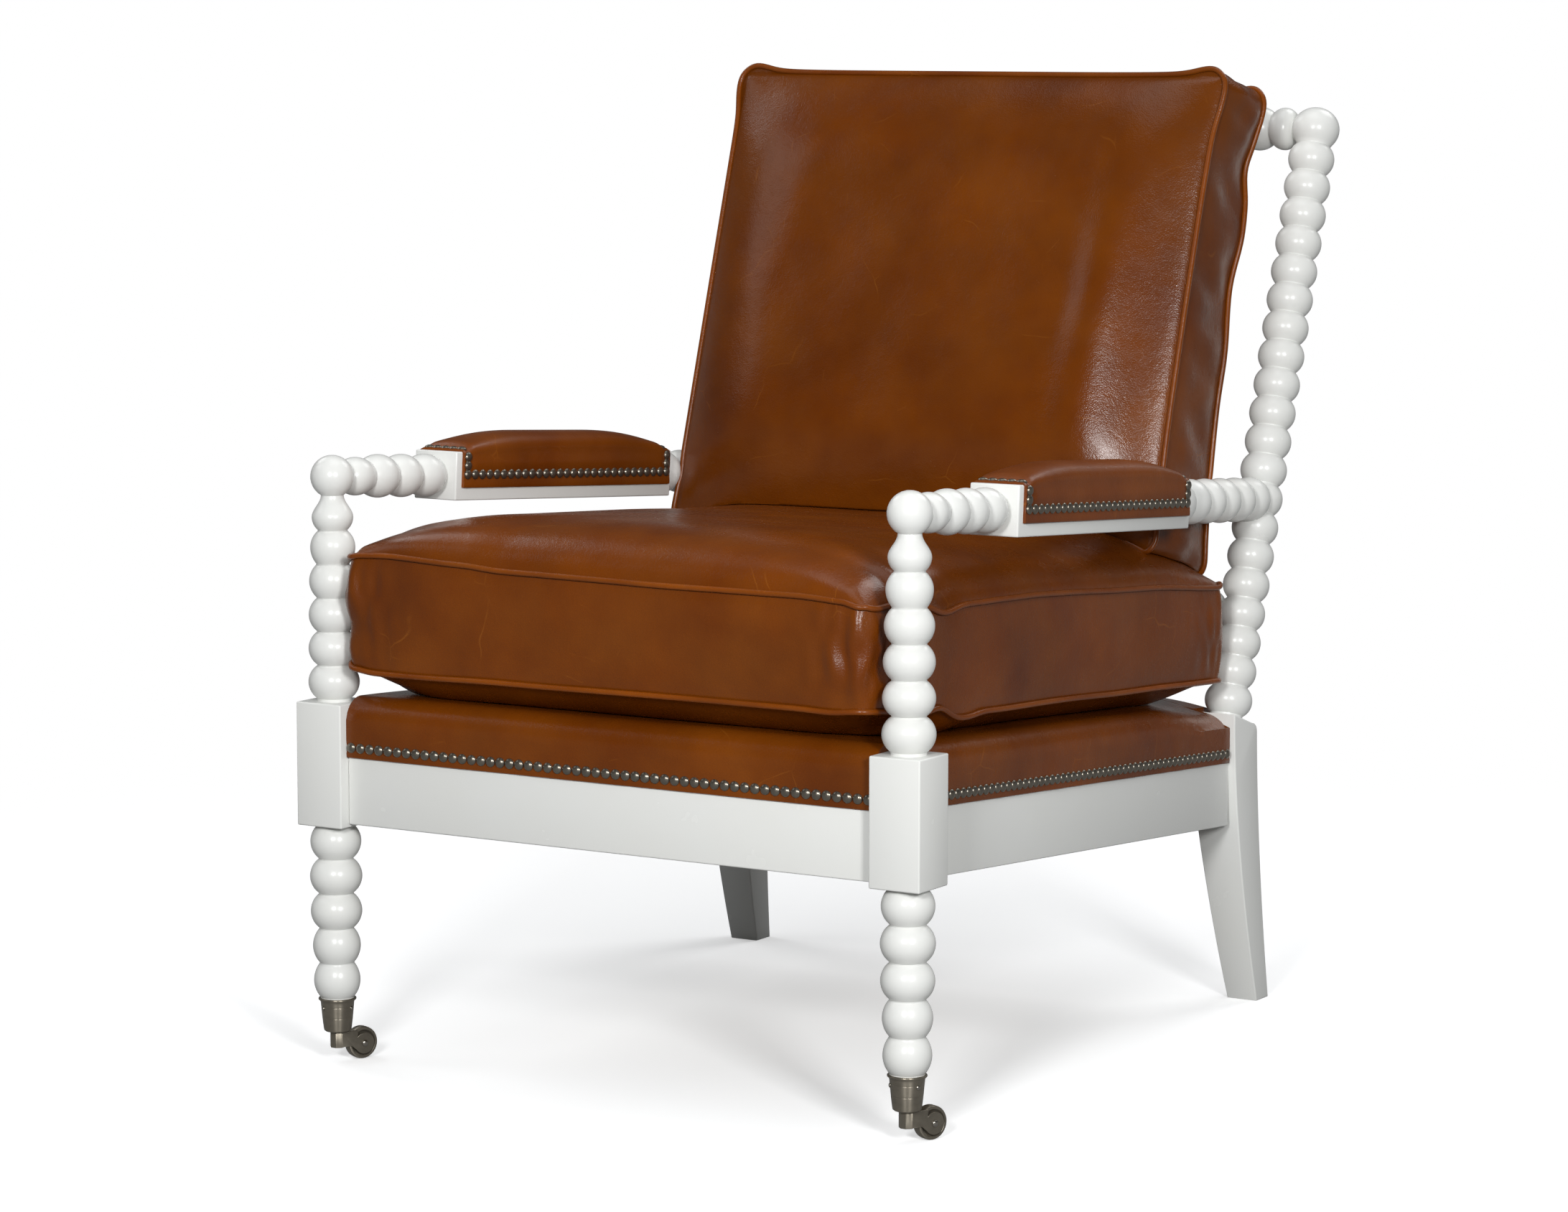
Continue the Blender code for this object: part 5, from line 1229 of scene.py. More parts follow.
def back_front(x, y):
    """Front of the back cushion over its seam."""
    side, end = back_edges(x, y)
    puff = swell(side, BACK_SIDE_ROUND, 2.4) * swell(end, BACK_END_ROUND, 2.4)
    groove = -0.0026 * hump(min(side, end), 0.0, 0.0052)
    where = Vector((x, y, 0.0))
    drift = (0.0034 * ripple(where, 0.15, (1.0, 0.6, 1.0), 8.0)
             + 0.0011 * ripple(where, 0.05, (1.0, 0.55, 1.0), 3.0)) * puff
    belly = 0.86 + 0.20 * hump(y, 0.20, 0.20)
    folds = sum(rise * hump(x - 0.06 * (y - 0.2), middle, wide) * hump(y, height, 0.16)
                for middle, rise, wide, height in FACE_FOLDS) * puff
    return settings("cushion").back_crown * puff * belly + groove + drift + folds


def back_rear(x, y):
    """Rear of the back cushion, which leans on the spindles."""
    side, end = back_edges(x, y)
    puff = swell(side, BACK_REAR_ROUND) * swell(end, BACK_REAR_ROUND)
    normal = Vector((0.0, -math.cos(RAKE), math.sin(RAKE)))
    seat = back_local(Vector((x, y, 0.0)))
    room = (back_point(BACK_BEADS) - seat).dot(-normal) - SPINDLE_RADIUS - SPINDLE_CLEAR
    boxing = back_boxing(y)
    return -boxing - (room - boxing) * puff


def rest_on_seat(vert):
    """Lift a point of the back cushion to the top of the seat cushion, where it would sink in."""
    depth = vert.co.y - POST_Y
    if depth < SEAT_REAR:
        vert.co.z = max(vert.co.z, seat_top_world(vert.co.x, depth) + BACK_CUSHION_CLEAR)


def press_round_arm(vert, side):
    """Move a point of the back cushion out of the rear run of one arm."""
    start, way, _ = arm_line(side)
    clear = ARM_REAR_RADIUS + BACK_CUSHION_CLEAR
    along = (vert.co - start).dot(way)
    off = vert.co - start - way * along
    if off.length < clear and along > ARM_BLOCK_START + ARM_BLOCK_LENGTH - 0.03:
        vert.co += off.normalized() * (clear - off.length)


def back_form():
    """The boxed back cushion with its folds, and its two seams."""
    folds = settings("leather").fold_depth

    def wall(point, out, share):
        arch = math.sin(math.pi * share)
        height = point.y / BACK_CUSHION_HEIGHT
        belly = 0.0035 + 0.0045 * hump(height, 0.93, 0.10) - 0.0025 * hump(height, 0.80, 0.08)
        crush = ripple(point, 0.042, (1, 1.5, 0.55), 14.0) * 0.0052
        corner = max(hump(height, 1.0, 0.16), 0.6 * hump(height, 0.0, 0.12)) * hump(abs(point.x), 0.29, 0.09)
        pucker = ripple(point, 0.022, (1, 0.8, 0.5), 6.0) * corner * folds
        return point + out * (belly + crush + pucker) * arch

    bm, front, rear = sewn_form(BACK_MESH, back_plan, back_front, back_rear, wall)
    for vert in bm.verts:
        depth = min(max(-vert.co.z / back_boxing(vert.co.y), 0.0), 1.0)
        vert.co.x *= 1 + depth * read_knots(vert.co.y, REAR_SEAM_PULL) / BACK_CUSHION_HALF
        ear = (0.006 * depth * hump(abs(vert.co.x), BACK_CUSHION_HALF, 0.03)
               * hump(vert.co.y, BACK_CUSHION_HEIGHT, 0.03))
        sag = 0.020 * depth * (1 - depth) * hump(vert.co.y, BACK_CUSHION_HEIGHT, 0.04)
        vert.co.y += ear - sag
        vert.co = back_local(vert.co)
        rest_on_seat(vert)
        for side, _ in SIDE_WORDS:
            press_round_arm(vert, side)
    return bm, front, rear


def deck_limits():
    """Front and rear of the deck's leather."""
    return FRONT_RAIL_FACE - GAP - LEATHER, REAR_RAIL_FACE + GAP + LEATHER


def deck_upper(x, y):
    """Height of the deck's top, before the slant: flat in the middle, rolling down at its edges."""
    front, rear = deck_limits()
    side = SIDE_RAIL_FACE + GAP + LEATHER - abs(x)
    end = min(y - front, rear - y)
    fall = 0.0
    for distance in (side, end):
        inward = min(max(distance, 0.0), SHOULDER)
        fall += SHOULDER - math.sqrt(max(SHOULDER ** 2 - (SHOULDER - inward) ** 2, 0.0))
    crown = DECK_CROWN * swell(side, 0.12) * swell(end, 0.12)
    corner = CORNER_DROP * hump(abs(x), SIDE_RAIL_FACE, 0.06) * hump(y, LEG_TOP_FRONT, 0.08)
    return max(DECK_EDGE + crown - fall - corner, RAIL_TOP + SHOULDER_LEAST)


def board_upper(x, y):
    """Height of the top of the board in the deck, which follows the leather down at the corners."""
    return min(RAIL_TOP + GAP + BOARD_THICK, deck_upper(x, y) - LEATHER - FOAM_LEAST)


def deck_rows(inset):
    """Depths and half widths of the deck's rows, drawn in from its outline: blocks, open sides, legs."""
    front, rear = deck_limits()
    step = BLOCK / 2 + 2 * GAP
    leg = LEG_TOP_FRONT - 2 * GAP
    spans = ((front + inset, BLOCK / 2 + inset, POST_X - BLOCK / 2 - GAP),
             (step + inset, leg - inset, SIDE_RAIL_FACE + GAP + LEATHER),
             (LEG_TOP_FRONT - inset, rear - inset, BACK_X - BASE_BEAD_RADIUS - GAP))
    return [(low + (high - low) * i / count, half - inset)
            for (low, high, half), count in zip(spans, DECK_ROWS) for i in range(count + 1)]


def deck_grid(bm, inset, height):
    """A sheet over the deck's plan, and its border going round."""
    columns = spaced(DECK_COLUMNS, 0.40)
    grid = [[bm.verts.new((u * half, y, height(u * half, y))) for u in columns]
            for y, half in deck_rows(inset)]
    for near, far in zip(grid, grid[1:]):
        for i in range(DECK_COLUMNS):
            bm.faces.new((near[i], near[i + 1], far[i + 1], far[i]))
    right = [row[-1] for row in grid[1:-1]]
    left = [row[0] for row in grid[1:-1]]
    return grid[0] + right + grid[-1][::-1] + left[::-1]


def deck_layer(low, high):
    """A layer inside the deck's leather, between two heights."""
    bm = bmesh.new()
    inset = LEATHER + GAP
    stitch(bm, deck_grid(bm, inset, high), deck_grid(bm, inset, low))
    bmesh.ops.recalc_face_normals(bm, faces=bm.faces[:])
    return slanted(bm)


def deck_form():
    """The leather over the deck, drawn down over the rails to its nailed edge."""
    bm = bmesh.new()
    border = deck_grid(bm, 0.0, deck_upper)
    heights = [NAIL_LINE + lift for lift in SKIRT_LIFTS]
    levels = [(height, -0.0010 * hump(height, NAIL_LINE, 0.004)) for height in heights]
    levels += [(SKIRT_BOTTOM, -0.0004), (SKIRT_BOTTOM - 0.0003, -0.0010), (SKIRT_BOTTOM, -0.0022),
               (NAIL_LINE, -0.0024)]
    rings = [border]
    for height, push in levels:
        ring = []
        for n, vert in enumerate(border):
            way = border[(n + 1) % len(border)].co - border[n - 1].co
            out = Vector((way.y, -way.x, 0.0)).normalized()
            wave = 0.0006 * ripple(vert.co, 0.03, seed=19.0) if push > -0.002 else 0.0
            foot = Vector((vert.co.x, vert.co.y, min(height, vert.co.z)))
            ring.append(bm.verts.new(foot + out * (push + wave)))
        rings.append(ring)
    rings.append(deck_grid(bm, LEATHER, lambda x, y: deck_upper(x, y) - LEATHER))
    for high, low in zip(rings, rings[1:]):
        stitch(bm, high, low)
    bmesh.ops.recalc_face_normals(bm, faces=bm.faces[:])
    return slanted(bm)


def pad_form():
    """An arm pad's leather, its half length and half width, its block's top and its nails' height.

    It lies about the middle of its block: X across, Y along, Z up from the arm's axis.
    """
    half = (ARM_BLOCK_LENGTH - PAD_FRONT_INSET - PAD_REAR_INSET) / 2
    width = ARM_BLOCK_WIDTH / 2 + PAD_EDGE
    top = ARM_BLOCK_HEIGHT / 2
    bottom = top - PAD_SKIRT
    crown = settings("cushion").pad_crown
    line = bottom + PAD_NAIL_LIFT

    def plan(u, v):
        return u * width, v * half

    def upper(x, y):
        end = half - abs(y)
        rise = swell(end - PAD_END_BORDER, 0.120, 2.4)
        lip = 0.0022 + 0.0010 * eased(end / 0.003) - 0.0010 * hump(end, PAD_NAIL_INSET, 0.0030)
        roll = PAD_ROLL - math.sqrt(max(PAD_ROLL ** 2 - max(PAD_ROLL - width + abs(x), 0.0) ** 2, 0.0))
        across = 1 - 0.55 * (abs(x) / width) ** 2.6
        puff = 0.0045 * swell(end - PAD_END_BORDER, 0.012)
        return top + lip + (crown * rise + puff) * across - roll * 0.75

    def lower(x, y):
        return bottom

    def wall(point, out, share):
        if abs(out.x) < 0.5:
            return point
        end = half - abs(point.y)
        fill = 0.0016 * eased((end - PAD_END_BORDER) / 0.012)
        above = fill * hump(point.z, line + 0.011, 0.008)
        valley = -0.0007 * hump(point.z, line, 0.0035)
        lip = 0.0004 * hump(point.z, bottom + 0.003, 0.004)
        ends = -0.0007 * hump(end, 0.006, 0.003) if point.z > line else 0.0
        return point + out * (above + valley + lip + ends)

    bm, _, _ = sewn_form(PAD_MESH, plan, upper, lower, wall, 0.30)
    return bm, half, width, top, line


def nail_head(radius, height):
    """A domed nail head that looks along +Z."""
    under = [(radius * 0.97, -0.0005), (0.0, -0.0005)]
    return lathe(dome(radius, height, NAIL_STEPS) + under, NAIL_SIDES)


def nail_row(name, places, nodes):
    """Many nails as one piece; each place is a point and the way its head looks."""
    nails = settings("nails")
    bm = bmesh.new()
    for point, way in places:
        wobble = Vector((noise.noise(point * 900), noise.noise(point * 700 + Vector((3, 1, 2))), 0.0)) * 0.03
        turn = (way + wobble * 0.6).normalized().to_track_quat("Z", "Y").to_matrix().to_4x4()
        size = 1 + 0.035 * noise.noise(point * 1300)
        matrix = Matrix.Translation(point) @ turn @ Matrix.Diagonal((size, size, size, 1))
        absorb(bm, nail_head(nails.head_radius, nails.dome), matrix)
    return piece(name, bm, "aged_nail", nodes=nodes)


def even(low, high, pitch):
    """Evenly spaced values from low to high, at about a pitch."""
    count = max(round((high - low) / pitch), 1)
    return [low + (high - low) * i / count for i in range(count + 1)]


class CHAIR_OT_front_posts(bpy.types.Operator):
    """Build both turned front posts"""

    bl_idname = "spool_chair.front_posts"
    bl_label = "Front posts"

    def execute(self, context):
        for side, word in SIDE_WORDS:
            piece("turned_front_post_" + word, front_post(side), "white_paint",
                  nodes=("front_post_" + word,))
        return {"FINISHED"}


class CHAIR_OT_back_posts(bpy.types.Operator):
    """Build both raked back posts with their legs"""

    bl_idname = "spool_chair.back_posts"
    bl_label = "Back posts"

    def execute(self, context):
        for side, word in SIDE_WORDS:
            piece("turned_back_post_" + word, back_post(side), "white_paint", nodes=("back_post_" + word,))
        return {"FINISHED"}


class CHAIR_OT_back_frame(bpy.types.Operator):
    """Build the crest rail, the low back rail and the spindles"""

    bl_idname = "spool_chair.back_frame"
    bl_label = "Back rails and spindles"

    def execute(self, context):
        for name, number in (("crest_rail", BACK_BEADS), ("low_back_rail", LOW_RAIL_BEAD)):
            piece("turned_" + name, cross_rail(number), "white_paint", nodes=(name,))
        for number, x in enumerate(SPINDLE_XS, 1):
            piece(f"turned_spindle_{number}", spindle(x), "white_paint", nodes=(f"back_spindle_{number}",))
        return {"FINISHED"}


class CHAIR_OT_arms(bpy.types.Operator):
    """Build both turned arms with their square blocks"""

    bl_idname = "spool_chair.arms"
    bl_label = "Arms"

    def execute(self, context):
        for side, word in SIDE_WORDS:
            piece("turned_arm_" + word, arm(side), "white_paint", nodes=("arm_" + word,))
        return {"FINISHED"}


class CHAIR_OT_seat_rails(bpy.types.Operator):
    """Build the four painted seat rails"""

    bl_idname = "spool_chair.seat_rails"
    bl_label = "Seat rails"

    def execute(self, context):
        block_inner = POST_X - BLOCK / 2 - GAP
        leg_inner = BACK_X - LEG_WIDTH / 2 - GAP
        rails = {
            "front_seat_rail": ((-block_inner, FRONT_RAIL_FACE, RAIL_BOTTOM),
                                (block_inner, FRONT_RAIL_FACE + RAIL_THICK, RAIL_TOP)),
            "rear_seat_rail": ((-leg_inner, REAR_RAIL_FACE - RAIL_THICK, RAIL_BOTTOM),
                               (leg_inner, REAR_RAIL_FACE, RAIL_TOP)),
        }
        for side, word in SIDE_WORDS:
            left, right = sorted((side * SIDE_RAIL_FACE, side * (SIDE_RAIL_FACE - RAIL_THICK)))
            rails[word + "_seat_rail"] = ((left, BLOCK / 2 + GAP, RAIL_BOTTOM),
                                          (right, LEG_TOP_FRONT + RAIL_TENON, RAIL_TOP))
        for name, (low, high) in rails.items():
            piece("painted_" + name, slanted(eased_box(low, high)), "white_paint", nodes=(name,))
        return {"FINISHED"}


class CHAIR_OT_inner_frame(bpy.types.Operator):
    """Finish the corner blocks and their bolts"""

    bl_idname = "spool_chair.inner_frame"
    bl_label = "Inner frame"

    def execute(self, context):
        for name, node in frame["nodes"].items():
            for start, chosen in (("corner_block", "bare_wood"), ("corner_bolt", "screw_steel")):
                if name.startswith(start):
                    node.data.materials.clear()
                    node.data.materials.append(finish(chosen))
        return {"FINISHED"}


class CHAIR_OT_deck(bpy.types.Operator):
    """Build the deck: board, foam and nailed leather"""

    bl_idname = "spool_chair.deck"
    bl_label = "Deck"

    def execute(self, context):
        board = deck_layer(lambda x, y: RAIL_TOP + GAP, board_upper)
        piece("board_in_deck", board, "bare_wood", nodes=("deck_board",))
        inset = LEATHER + GAP
        foam = deck_layer(lambda x, y: board_upper(x, y) + GAP, lambda x, y: deck_upper(x, y) - inset)
        piece("foam_in_deck", foam, "foam", nodes=("deck_pad",))
        cover = piece("leather_deck", deck_form(), "tan_leather", nodes=("deck_cover",), sharp=50)
        return {"FINISHED"}


class CHAIR_OT_seat_cushion(bpy.types.Operator):
    """Build the loose seat cushion with its welts"""

    bl_idname = "spool_chair.seat_cushion"
    bl_label = "Seat cushion"

    def execute(self, context):
        bm, high, low = seat_form()
        seams = {"seat_welt_upper": seam(bm, high), "seat_welt_lower": seam(bm, low)}
        cushion = piece("leather_seat_cushion", bm, "tan_leather", nodes=("seat_cushion",), sharp=70)
        for name, (ring, ways) in seams.items():
            welt(name, ring, ways)
        return {"FINISHED"}


class CHAIR_OT_back_cushion(bpy.types.Operator):
    """Build the loose back cushion with its welts"""

    bl_idname = "spool_chair.back_cushion"
    bl_label = "Back cushion"

    def execute(self, context):
        bm, front, rear = back_form()
        seams = {"back_welt_front": seam(bm, front), "back_welt_rear": seam(bm, rear)}
        # The back cushion takes the darker copy of the leather, painted shade.
        cushion = piece("leather_back_cushion", bm, "tan_leather_back_painted_shade",
                        nodes=("back_cushion",), sharp=70)
        for name, (ring, ways) in seams.items():
            welt(name, ring, ways)
        return {"FINISHED"}


class CHAIR_OT_arm_pads(bpy.types.Operator):
    """Build the padded leather on both arms with its nails"""

    bl_idname = "spool_chair.arm_pads"
    bl_label = "Arm pads"

    def execute(self, context):
        middle = ARM_BLOCK_START + PAD_FRONT_INSET / 2 - PAD_REAR_INSET / 2 + ARM_BLOCK_LENGTH / 2
        nails = settings("nails")
        for side, word in SIDE_WORDS:
            bm, half, width, top, line = pad_form()
            matrix = arm_matrix(side, middle)
            pad = piece("leather_arm_pad_" + word, placed(bm, matrix), "tan_leather_arm",
                        nodes=("arm_pad_" + word,), sharp=50)
            turn = matrix.to_3x3()
            reach = half - PAD_NAIL_INSET
            for sign, hand in ((side, "outer"), (-side, "inner")):
                spots = [(y, line) for y in even(-reach, reach, nails.pad_pitch)]
                spots += [(end * reach, line + lift * (top - line) / 2.6)
                          for end in (-1, 1) for lift in (1, 2)]
                out = turn @ Vector((sign, 0, 0))
                places = [(matrix @ Vector((sign * (width - PAD_NAIL_SUNK), y, z)), out) for y, z in spots]
                nail_row(f"arm_nails_{hand}_{word}", places, (f"arm_nail_strip_{hand}_{word}",))
            up = turn @ Vector((0, 0, 1))
            side_x = width - PAD_END_NAIL_MARGIN
            across = [(matrix @ Vector((x, end * reach, top + PAD_END_NAIL_RISE)), up)
                      for end in (-1, 1) for x in even(-side_x, side_x, PAD_END_NAIL_PITCH)]
            nail_row("arm_nails_ends_" + word, across, ())
        return {"FINISHED"}


class CHAIR_OT_deck_nails(bpy.types.Operator):
    """Drive the nails round the deck"""

    bl_idname = "spool_chair.deck_nails"
    bl_label = "Deck nails"

    def execute(self, context):
        pitch = settings("nails").pitch
        front, rear = deck_limits()
        side_x = SIDE_RAIL_FACE + GAP + LEATHER - NAIL_SUNK
        inner = POST_X - BLOCK / 2 - GAP - NAIL_MARGIN
        leg = BACK_X - BASE_BEAD_RADIUS - GAP - NAIL_MARGIN
        rows = [("front", [(x, front + NAIL_SUNK) for x in even(-inner, inner, pitch)], (0, -1, 0)),
                ("rear", [(x, rear - NAIL_SUNK) for x in even(-leg, leg, pitch)], (0, 1, 0))]
        for side, word in SIDE_WORDS:
            run = even(BLOCK / 2 + SIDE_NAIL_MARGIN, LEG_TOP_FRONT - SIDE_NAIL_MARGIN, pitch)
            rows.append((word, [(side * side_x, y) for y in run], (side, 0, 0)))
        for word, spots, way in rows:
            places = [(at(x, y, NAIL_LINE - SLOPE * y), Vector(way)) for x, y in spots]
            nail_row("deck_nails_" + word, places, ("nail_strip_" + word,))
        return {"FINISHED"}


def cup_form():
    """The caster's tapered cup with its rolled rim."""
    rim = 0.0014
    middle = CUP_RIM_RADIUS - rim
    profile = [(CUP_RIM_RADIUS - 2.2 * rim, CUP_RIM_TOP - 0.0012)]
    for i in range(9):
        angle = math.radians(150 - i * 30)
        profile.append((middle + rim * math.cos(angle), CUP_RIM_TOP - rim + rim * math.sin(angle)))
    profile += [(CUP_TOP_RADIUS + 0.0004, CUP_RIM_TOP - 0.0036),
                (CUP_TOP_RADIUS, CUP_RIM_TOP - CUP_TAPER_DROP)]
    slim = (CUP_TOP_RADIUS - CUP_LOW_RADIUS) / (CUP_RIM_TOP - CUP_TAPER_DROP - CUP_BOTTOM)
    for groove in CUP_GROOVE_DROPS:
        for apart in (-0.0014, -0.00025, 0.0, 0.00025, 0.0014):
            drop = groove + apart
            depth = 0.0 if apart else CUP_GROOVE_DEPTH
            profile.append((CUP_TOP_RADIUS - slim * (drop - CUP_TAPER_DROP) - depth, CUP_RIM_TOP - drop))
    profile += [(CUP_LOW_RADIUS, CUP_BOTTOM + 0.0030), (CUP_LOW_RADIUS - 0.0004, CUP_BOTTOM + 0.0010),
                (CUP_LOW_RADIUS - 0.0016, CUP_BOTTOM), (0.0045, CUP_BOTTOM), (0.0045, CUP_BOTTOM + 0.0012),
                (CUP_LOW_RADIUS - 0.0020, CUP_BOTTOM + 0.0014),
                (CUP_TOP_RADIUS - 0.0012, CUP_RIM_TOP - 0.006)]
    return lathe(profile, 56, closed=True)


def horn_form():
    """The caster's fluted barrel with the two cheeks that hold the wheel, trailing along +X."""
    bm = bmesh.new()
    top, bottom = CUP_BOTTOM - GAP, BARREL_BOTTOM
    ring = []
    for i in range(SIDES):
        angle = math.tau * i / SIDES
        radius = BARREL_RADIUS * (1 - BARREL_FLUTE * abs(math.sin(4 * angle)) ** 0.6)
        ring.append((radius * math.cos(angle), radius * math.sin(angle)))
    barrel = plate(ring, top - bottom, 0.0005)
    absorb(bm, barrel, Matrix.Translation((0, 0, (top + bottom) / 2)))
    stem = [(0.0, STEM_TOP), (STEM_RADIUS, STEM_TOP - 0.0005), (STEM_RADIUS, bottom + 0.004),
            (0.0, bottom + 0.004)]
    absorb(bm, lathe(stem, 20))
    outline = [(0.0, bottom + 0.0006), (TRAIL - CHEEK_RADIUS - 0.004, bottom + 0.0006)]
    for step in range(25):
        angle = math.radians(215 + step * 280 / 24)
        outline.append((TRAIL + CHEEK_RADIUS * math.cos(angle),
                        WHEEL_RADIUS + CHEEK_RADIUS * math.sin(angle)))
    outline += [(TRAIL - CHEEK_RADIUS * 0.7, top - 0.0006), (0.0, top - 0.0006)]
    stand = Matrix.Rotation(math.radians(90), 4, "X")
    centre = WHEEL_WIDTH / 2 + WHEEL_CLEAR + CHEEK_THICK / 2
    for sign in (-1, 1):
        cheek = plate(outline, CHEEK_THICK, 0.0006)
        absorb(bm, cheek, Matrix.Translation((0, sign * centre, 0)) @ stand)
    web_end = TRAIL - WHEEL_RADIUS - 0.0012
    absorb(bm, eased_box((0.0, -centre, bottom + 0.0010), (web_end, centre, top - 0.0010), 0.0004, 2))
    return bm


def wheel_form():
    """A solid wheel with a raised tread rim, a dished face and a hub, on a Z axle."""
    face = [(radius, WHEEL_WIDTH / 2 - depth) for radius, depth in WHEEL_SECTION]
    return lathe(face + mirrored_down(face), 64, closed=True)


def axle_form():
    """The wheel's axle with its two domed heads, along Z."""
    head = WHEEL_WIDTH / 2 + WHEEL_CLEAR + CHEEK_THICK + GAP
    upper = dome(AXLE_HEAD_RADIUS, AXLE_HEAD_HEIGHT, 6, head) + [(AXLE_RADIUS, head)]
    return lathe(upper + mirrored_down(upper), 28)


def screw_form():
    """A cup screw's domed head that looks along +Z."""
    under = [(SCREW_HEAD_RADIUS - 0.0002, -0.0006), (0.0, -0.0006)]
    return lathe(dome(SCREW_HEAD_RADIUS, SCREW_HEAD_HEIGHT, 6) + under, 20)


class CHAIR_OT_casters(bpy.types.Operator):
    """Build both casters: cup, screws, horn, axle and wheel"""

    bl_idname = "spool_chair.casters"
    bl_label = "Casters"

    def execute(self, context):
        joints = {joint["name"]: joint for joint in frame["joints"]}
        for side, word in SIDE_WORDS:
            stem = at(side * POST_X, 0.0, 0.0)
            stand = Matrix.Translation(stem)
            axle = Vector(joints["wheel_roll_" + word]["pos_m"])
            trail = axle - stem
            turn = Matrix.Rotation(math.atan2(trail.y, trail.x), 4, "Z")
            lie = Matrix.Translation(axle) @ turn @ Matrix.Rotation(math.radians(-90), 4, "X")
            piece("cast_cup_" + word, placed(cup_form(), stand), "dark_nickel",
                  nodes=("caster_cup_" + word,))
            piece("cast_horn_" + word, placed(horn_form(), stand @ turn), "dark_nickel",
                  "caster_" + word, nodes=("caster_fork_" + word,))
            piece("wheel_pin_" + word, placed(axle_form(), lie), "screw_steel",
                  "caster_" + word, nodes=("caster_axle_" + word,))
            piece("cast_wheel_" + word, placed(wheel_form(), lie), "dark_nickel",
                  "wheel_" + word, nodes=("caster_wheel_" + word,))
            for number in range(1, SCREW_COUNT + 1):
                low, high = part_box(f"cup_screw_{word}_{number}")
                centre = Vector((stem.x, stem.y, SCREW_Z))
                way = (low + high) / 2 - centre
                way = Vector((way.x, way.y, 0.0)).normalized()
                spot = Matrix.Translation(centre + way * (CUP_TOP_RADIUS - SCREW_SUNK))
                look = way.to_track_quat("Z", "Y").to_matrix().to_4x4()
                piece(f"cup_screw_head_{word}_{number}", placed(screw_form(), spot @ look), "screw_steel",
                      nodes=(f"cup_screw_{word}_{number}",))
        return {"FINISHED"}


def soft_box(name, place, size, watts):
    """A rectangular lamp that looks at the chair."""
    lamp = bpy.data.lights.new(name, "AREA")
    lamp.shape = "RECTANGLE"
    lamp.size, lamp.size_y = size
    lamp.energy = watts * settings("studio").lamp_level
    obj = bpy.data.objects.new(name, lamp)
    obj.location = place
    obj.rotation_mode = "QUATERNION"
    obj.rotation_quaternion = (Vector(LAMP_AIM) - Vector(place)).to_track_quat("-Z", "Y")
    bpy.context.scene.collection.objects.link(obj)


def way_to(azimuth, elevation):
    """The way from the chair to an azimuth to the right of straight ahead and an elevation."""
    azimuth, elevation = math.radians(azimuth), math.radians(elevation)
    return Vector((math.sin(azimuth) * math.cos(elevation), -math.cos(azimuth) * math.cos(elevation),
                   math.sin(elevation)))


def floor_finish():
    """Pale floor that is white to the camera except for the chair's soft shadow."""
    made, tree, shader = fresh_material("studio_floor")
    shader.inputs["Roughness"].default_value = 0.9
    shader.inputs["Specular IOR Level"].default_value = 0.0
    path = add(tree, "ShaderNodeLightPath", (-1100, 300))
    seen = path.outputs["Is Camera Ray"]
    tree.links.new(blend_colors(tree, (-700, 500), seen, FLOOR_BOUNCE, settings("studio").floor),
                   shader.inputs["Base Color"])
    where = add(tree, "ShaderNodeTexCoord", (-1100, 0))
    length = add(tree, "ShaderNodeVectorMath", (-900, 0), operation="LENGTH")
    tree.links.new(where.outputs["Object"], length.inputs[0])
    far = add(tree, "ShaderNodeMapRange", (-700, 0), interpolation_type="SMOOTHSTEP")
    far.inputs["From Min"].default_value, far.inputs["From Max"].default_value = SHADOW_FADE
    tree.links.new(length.outputs["Value"], far.inputs["Value"])
    glow = add(tree, "ShaderNodeEmission", (-200, -100))
    mirrored = maths(tree, "MAXIMUM", (-900, 200), path.outputs["Is Glossy Ray"],
                     path.outputs["Is Transmission Ray"])
    dim = maths(tree, "MULTIPLY", (-700, 200), mirrored, settings("studio").reflection)
    shown = maths(tree, "ADD", (-500, 200), seen, dim)
    tree.links.new(shown, glow.inputs["Strength"])
    haze = add(tree, "ShaderNodeEmission", (-200, 150))
    tree.links.new(maths(tree, "MULTIPLY", (-350, 150), shown, FLOOR_HAZE), haze.inputs["Strength"])
    near = add(tree, "ShaderNodeAddShader", (0, 200))
    tree.links.new(shader.outputs[0], near.inputs[0])
    tree.links.new(haze.outputs[0], near.inputs[1])
    mixed = add(tree, "ShaderNodeMixShader", (200, 100))
    either = maths(tree, "ADD", (-200, 350), seen, mirrored)
    tree.links.new(maths(tree, "MULTIPLY", (0, 0), far.outputs["Result"], either), mixed.inputs["Fac"])
    tree.links.new(near.outputs[0], mixed.inputs[1])
    tree.links.new(glow.outputs[0], mixed.inputs[2])
    tree.links.new(mixed.outputs[0], tree.nodes["Material Output"].inputs["Surface"])
    return made


